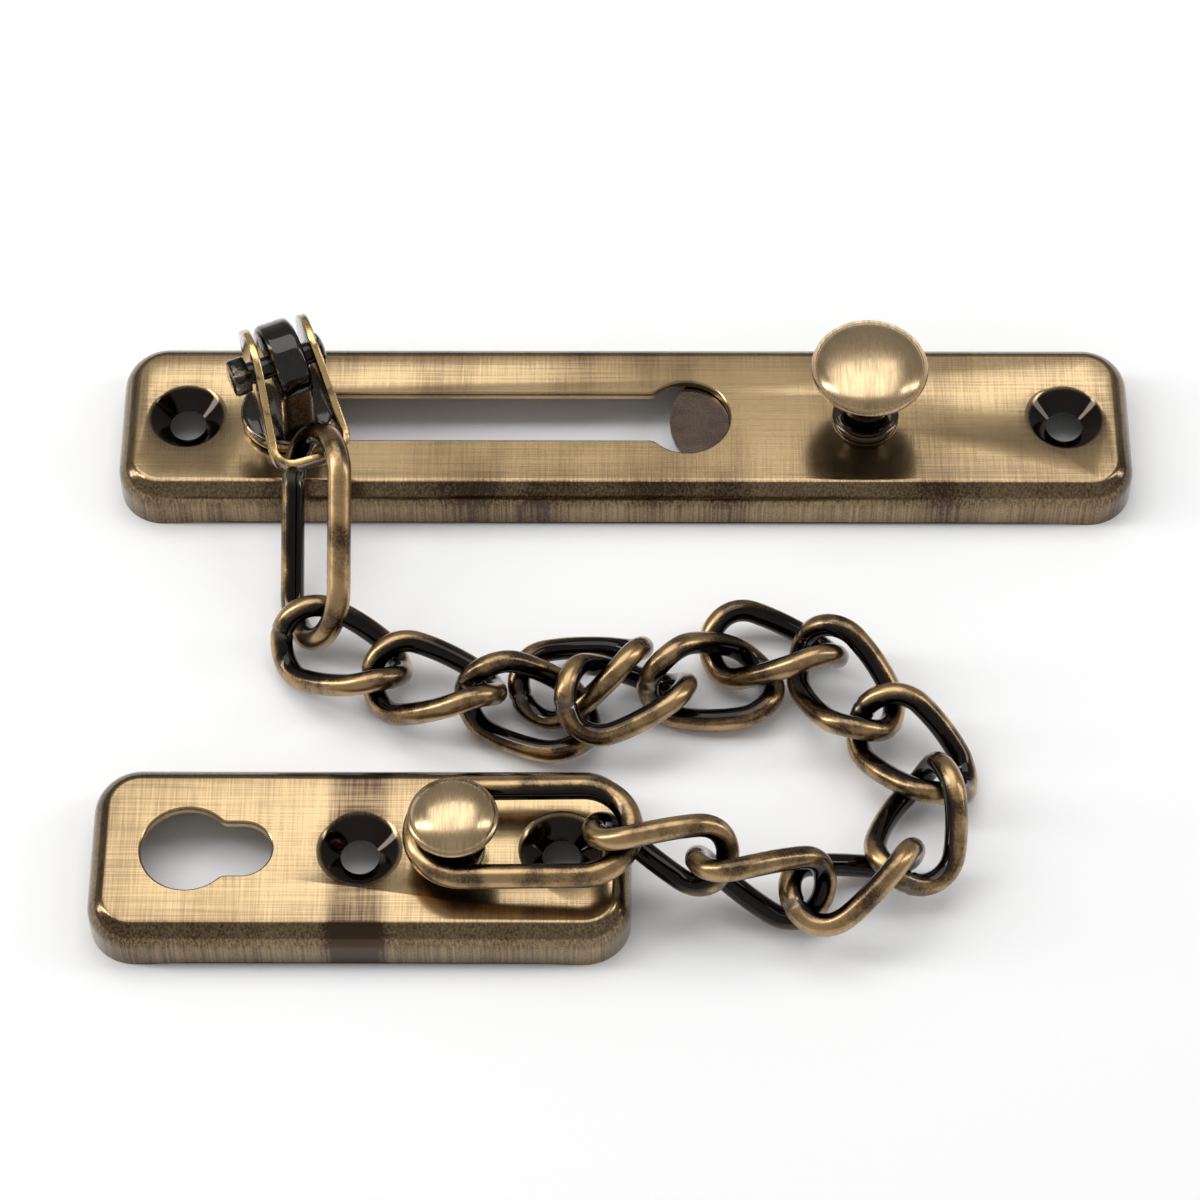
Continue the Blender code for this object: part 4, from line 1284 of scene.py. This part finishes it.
# ---- Keeper plate, its knob and washer
# The short plate is pressed and finished like the long one, with a keyhole to park the slider in. Its
# solid brass knob holds the chain's last link and is riveted over a washer underneath.
keeper_centre, keeper_half, keeper_deep, _ = plate_facts("keeper_plate")
keeper_left = keeper_centre.x - keeper_half
KEEPER_HOLES = (37.5 * MM, 65.5 * MM)
PARK_AT, PARK_END, PARK_RADIUS = 13.6 * MM, 21.2 * MM, 6.4 * MM
KNOB_AT = 50.7 * MM
keeper_brass = antique_plate(
    "lacquered_antique_brass_keeper_plate", keeper_centre, keeper_half, keeper_deep,
    keeper_left + sum(KEEPER_HOLES) / 2, (KEEPER_HOLES[1] - KEEPER_HOLES[0]) / 2,
    band=keeper_left + 37.2 * MM, wear=-0.22,
)
keeper = as_piece(
    "pressed_keeper_plate",
    plate_blank("keeper_blank", keeper_centre, keeper_half, keeper_deep, FACE),
    keeper_brass,
    "keeper",
    "brushed_brass",
    "keeper_plate",
)
dimples = [
    dimple_tools(f"keeper_dimple_{n}", keeper_left + at, keeper_centre.y, FACE)
    for n, at in enumerate(KEEPER_HOLES)
]
work(keeper, "UNION", *[skirt for skirt, _ in dimples])
work(
    keeper,
    "DIFFERENCE",
    *[cone for _, cone in dimples],
    punch(
        "keeper_keyhole", keeper_left + PARK_AT, keeper_centre.y, FACE, PARK_RADIUS, SLOT_HALF,
        PARK_END - PARK_AT, -1,
    ),
    punch("knob_hole", keeper_left + KNOB_AT, keeper_centre.y, FACE, 2.2 * MM),
)
keeper.data.shade_smooth()
keeper.data.set_sharp_from_angle(angle=radians(32))

keeper_axis = Vector((keeper_left + KNOB_AT, keeper_centre.y, FACE))
STEP_TOP = 1.6 * MM
KEEPER_HEAD, KEEPER_NECK, KEEPER_BASE = 12.6 * MM, 6.2 * MM, 8.4 * MM
KEEPER_CROWN, KEEPER_LIP = 11.2 * MM, 8.6 * MM
keeper_side = knob_profile(KEEPER_HEAD, KEEPER_CROWN, KEEPER_LIP, KEEPER_NECK, STEP_TOP + 0.3 * MM, KEEPER_BASE)
keeper_side += [
    (4.3 * MM, STEP_TOP), (4.3 * MM, 0.3 * MM), (4.2 * MM, 0.2 * MM), (2.0 * MM, 0.2 * MM),
    (2.0 * MM, -2.6 * MM), (2.8 * MM, -2.6 * MM), (2.4 * MM, -3.3 * MM), (0, -3.3 * MM),
]
mesh = turn_profile("keeper_knob", keeper_side, 112)
mesh.transform(Matrix.Translation(keeper_axis))
mesh.set_sharp_from_angle(angle=radians(38))
as_piece(
    "turned_keeper_knob",
    mesh,
    rubbed_knob("rubbed_brass_keeper_knob", tuple(keeper_axis), KEEPER_HEAD / 2, KEEPER_LIP),
    "keeper",
    "rubbed_brass",
    "keeper_knob",
)
keep("knob_washer", black_collar)
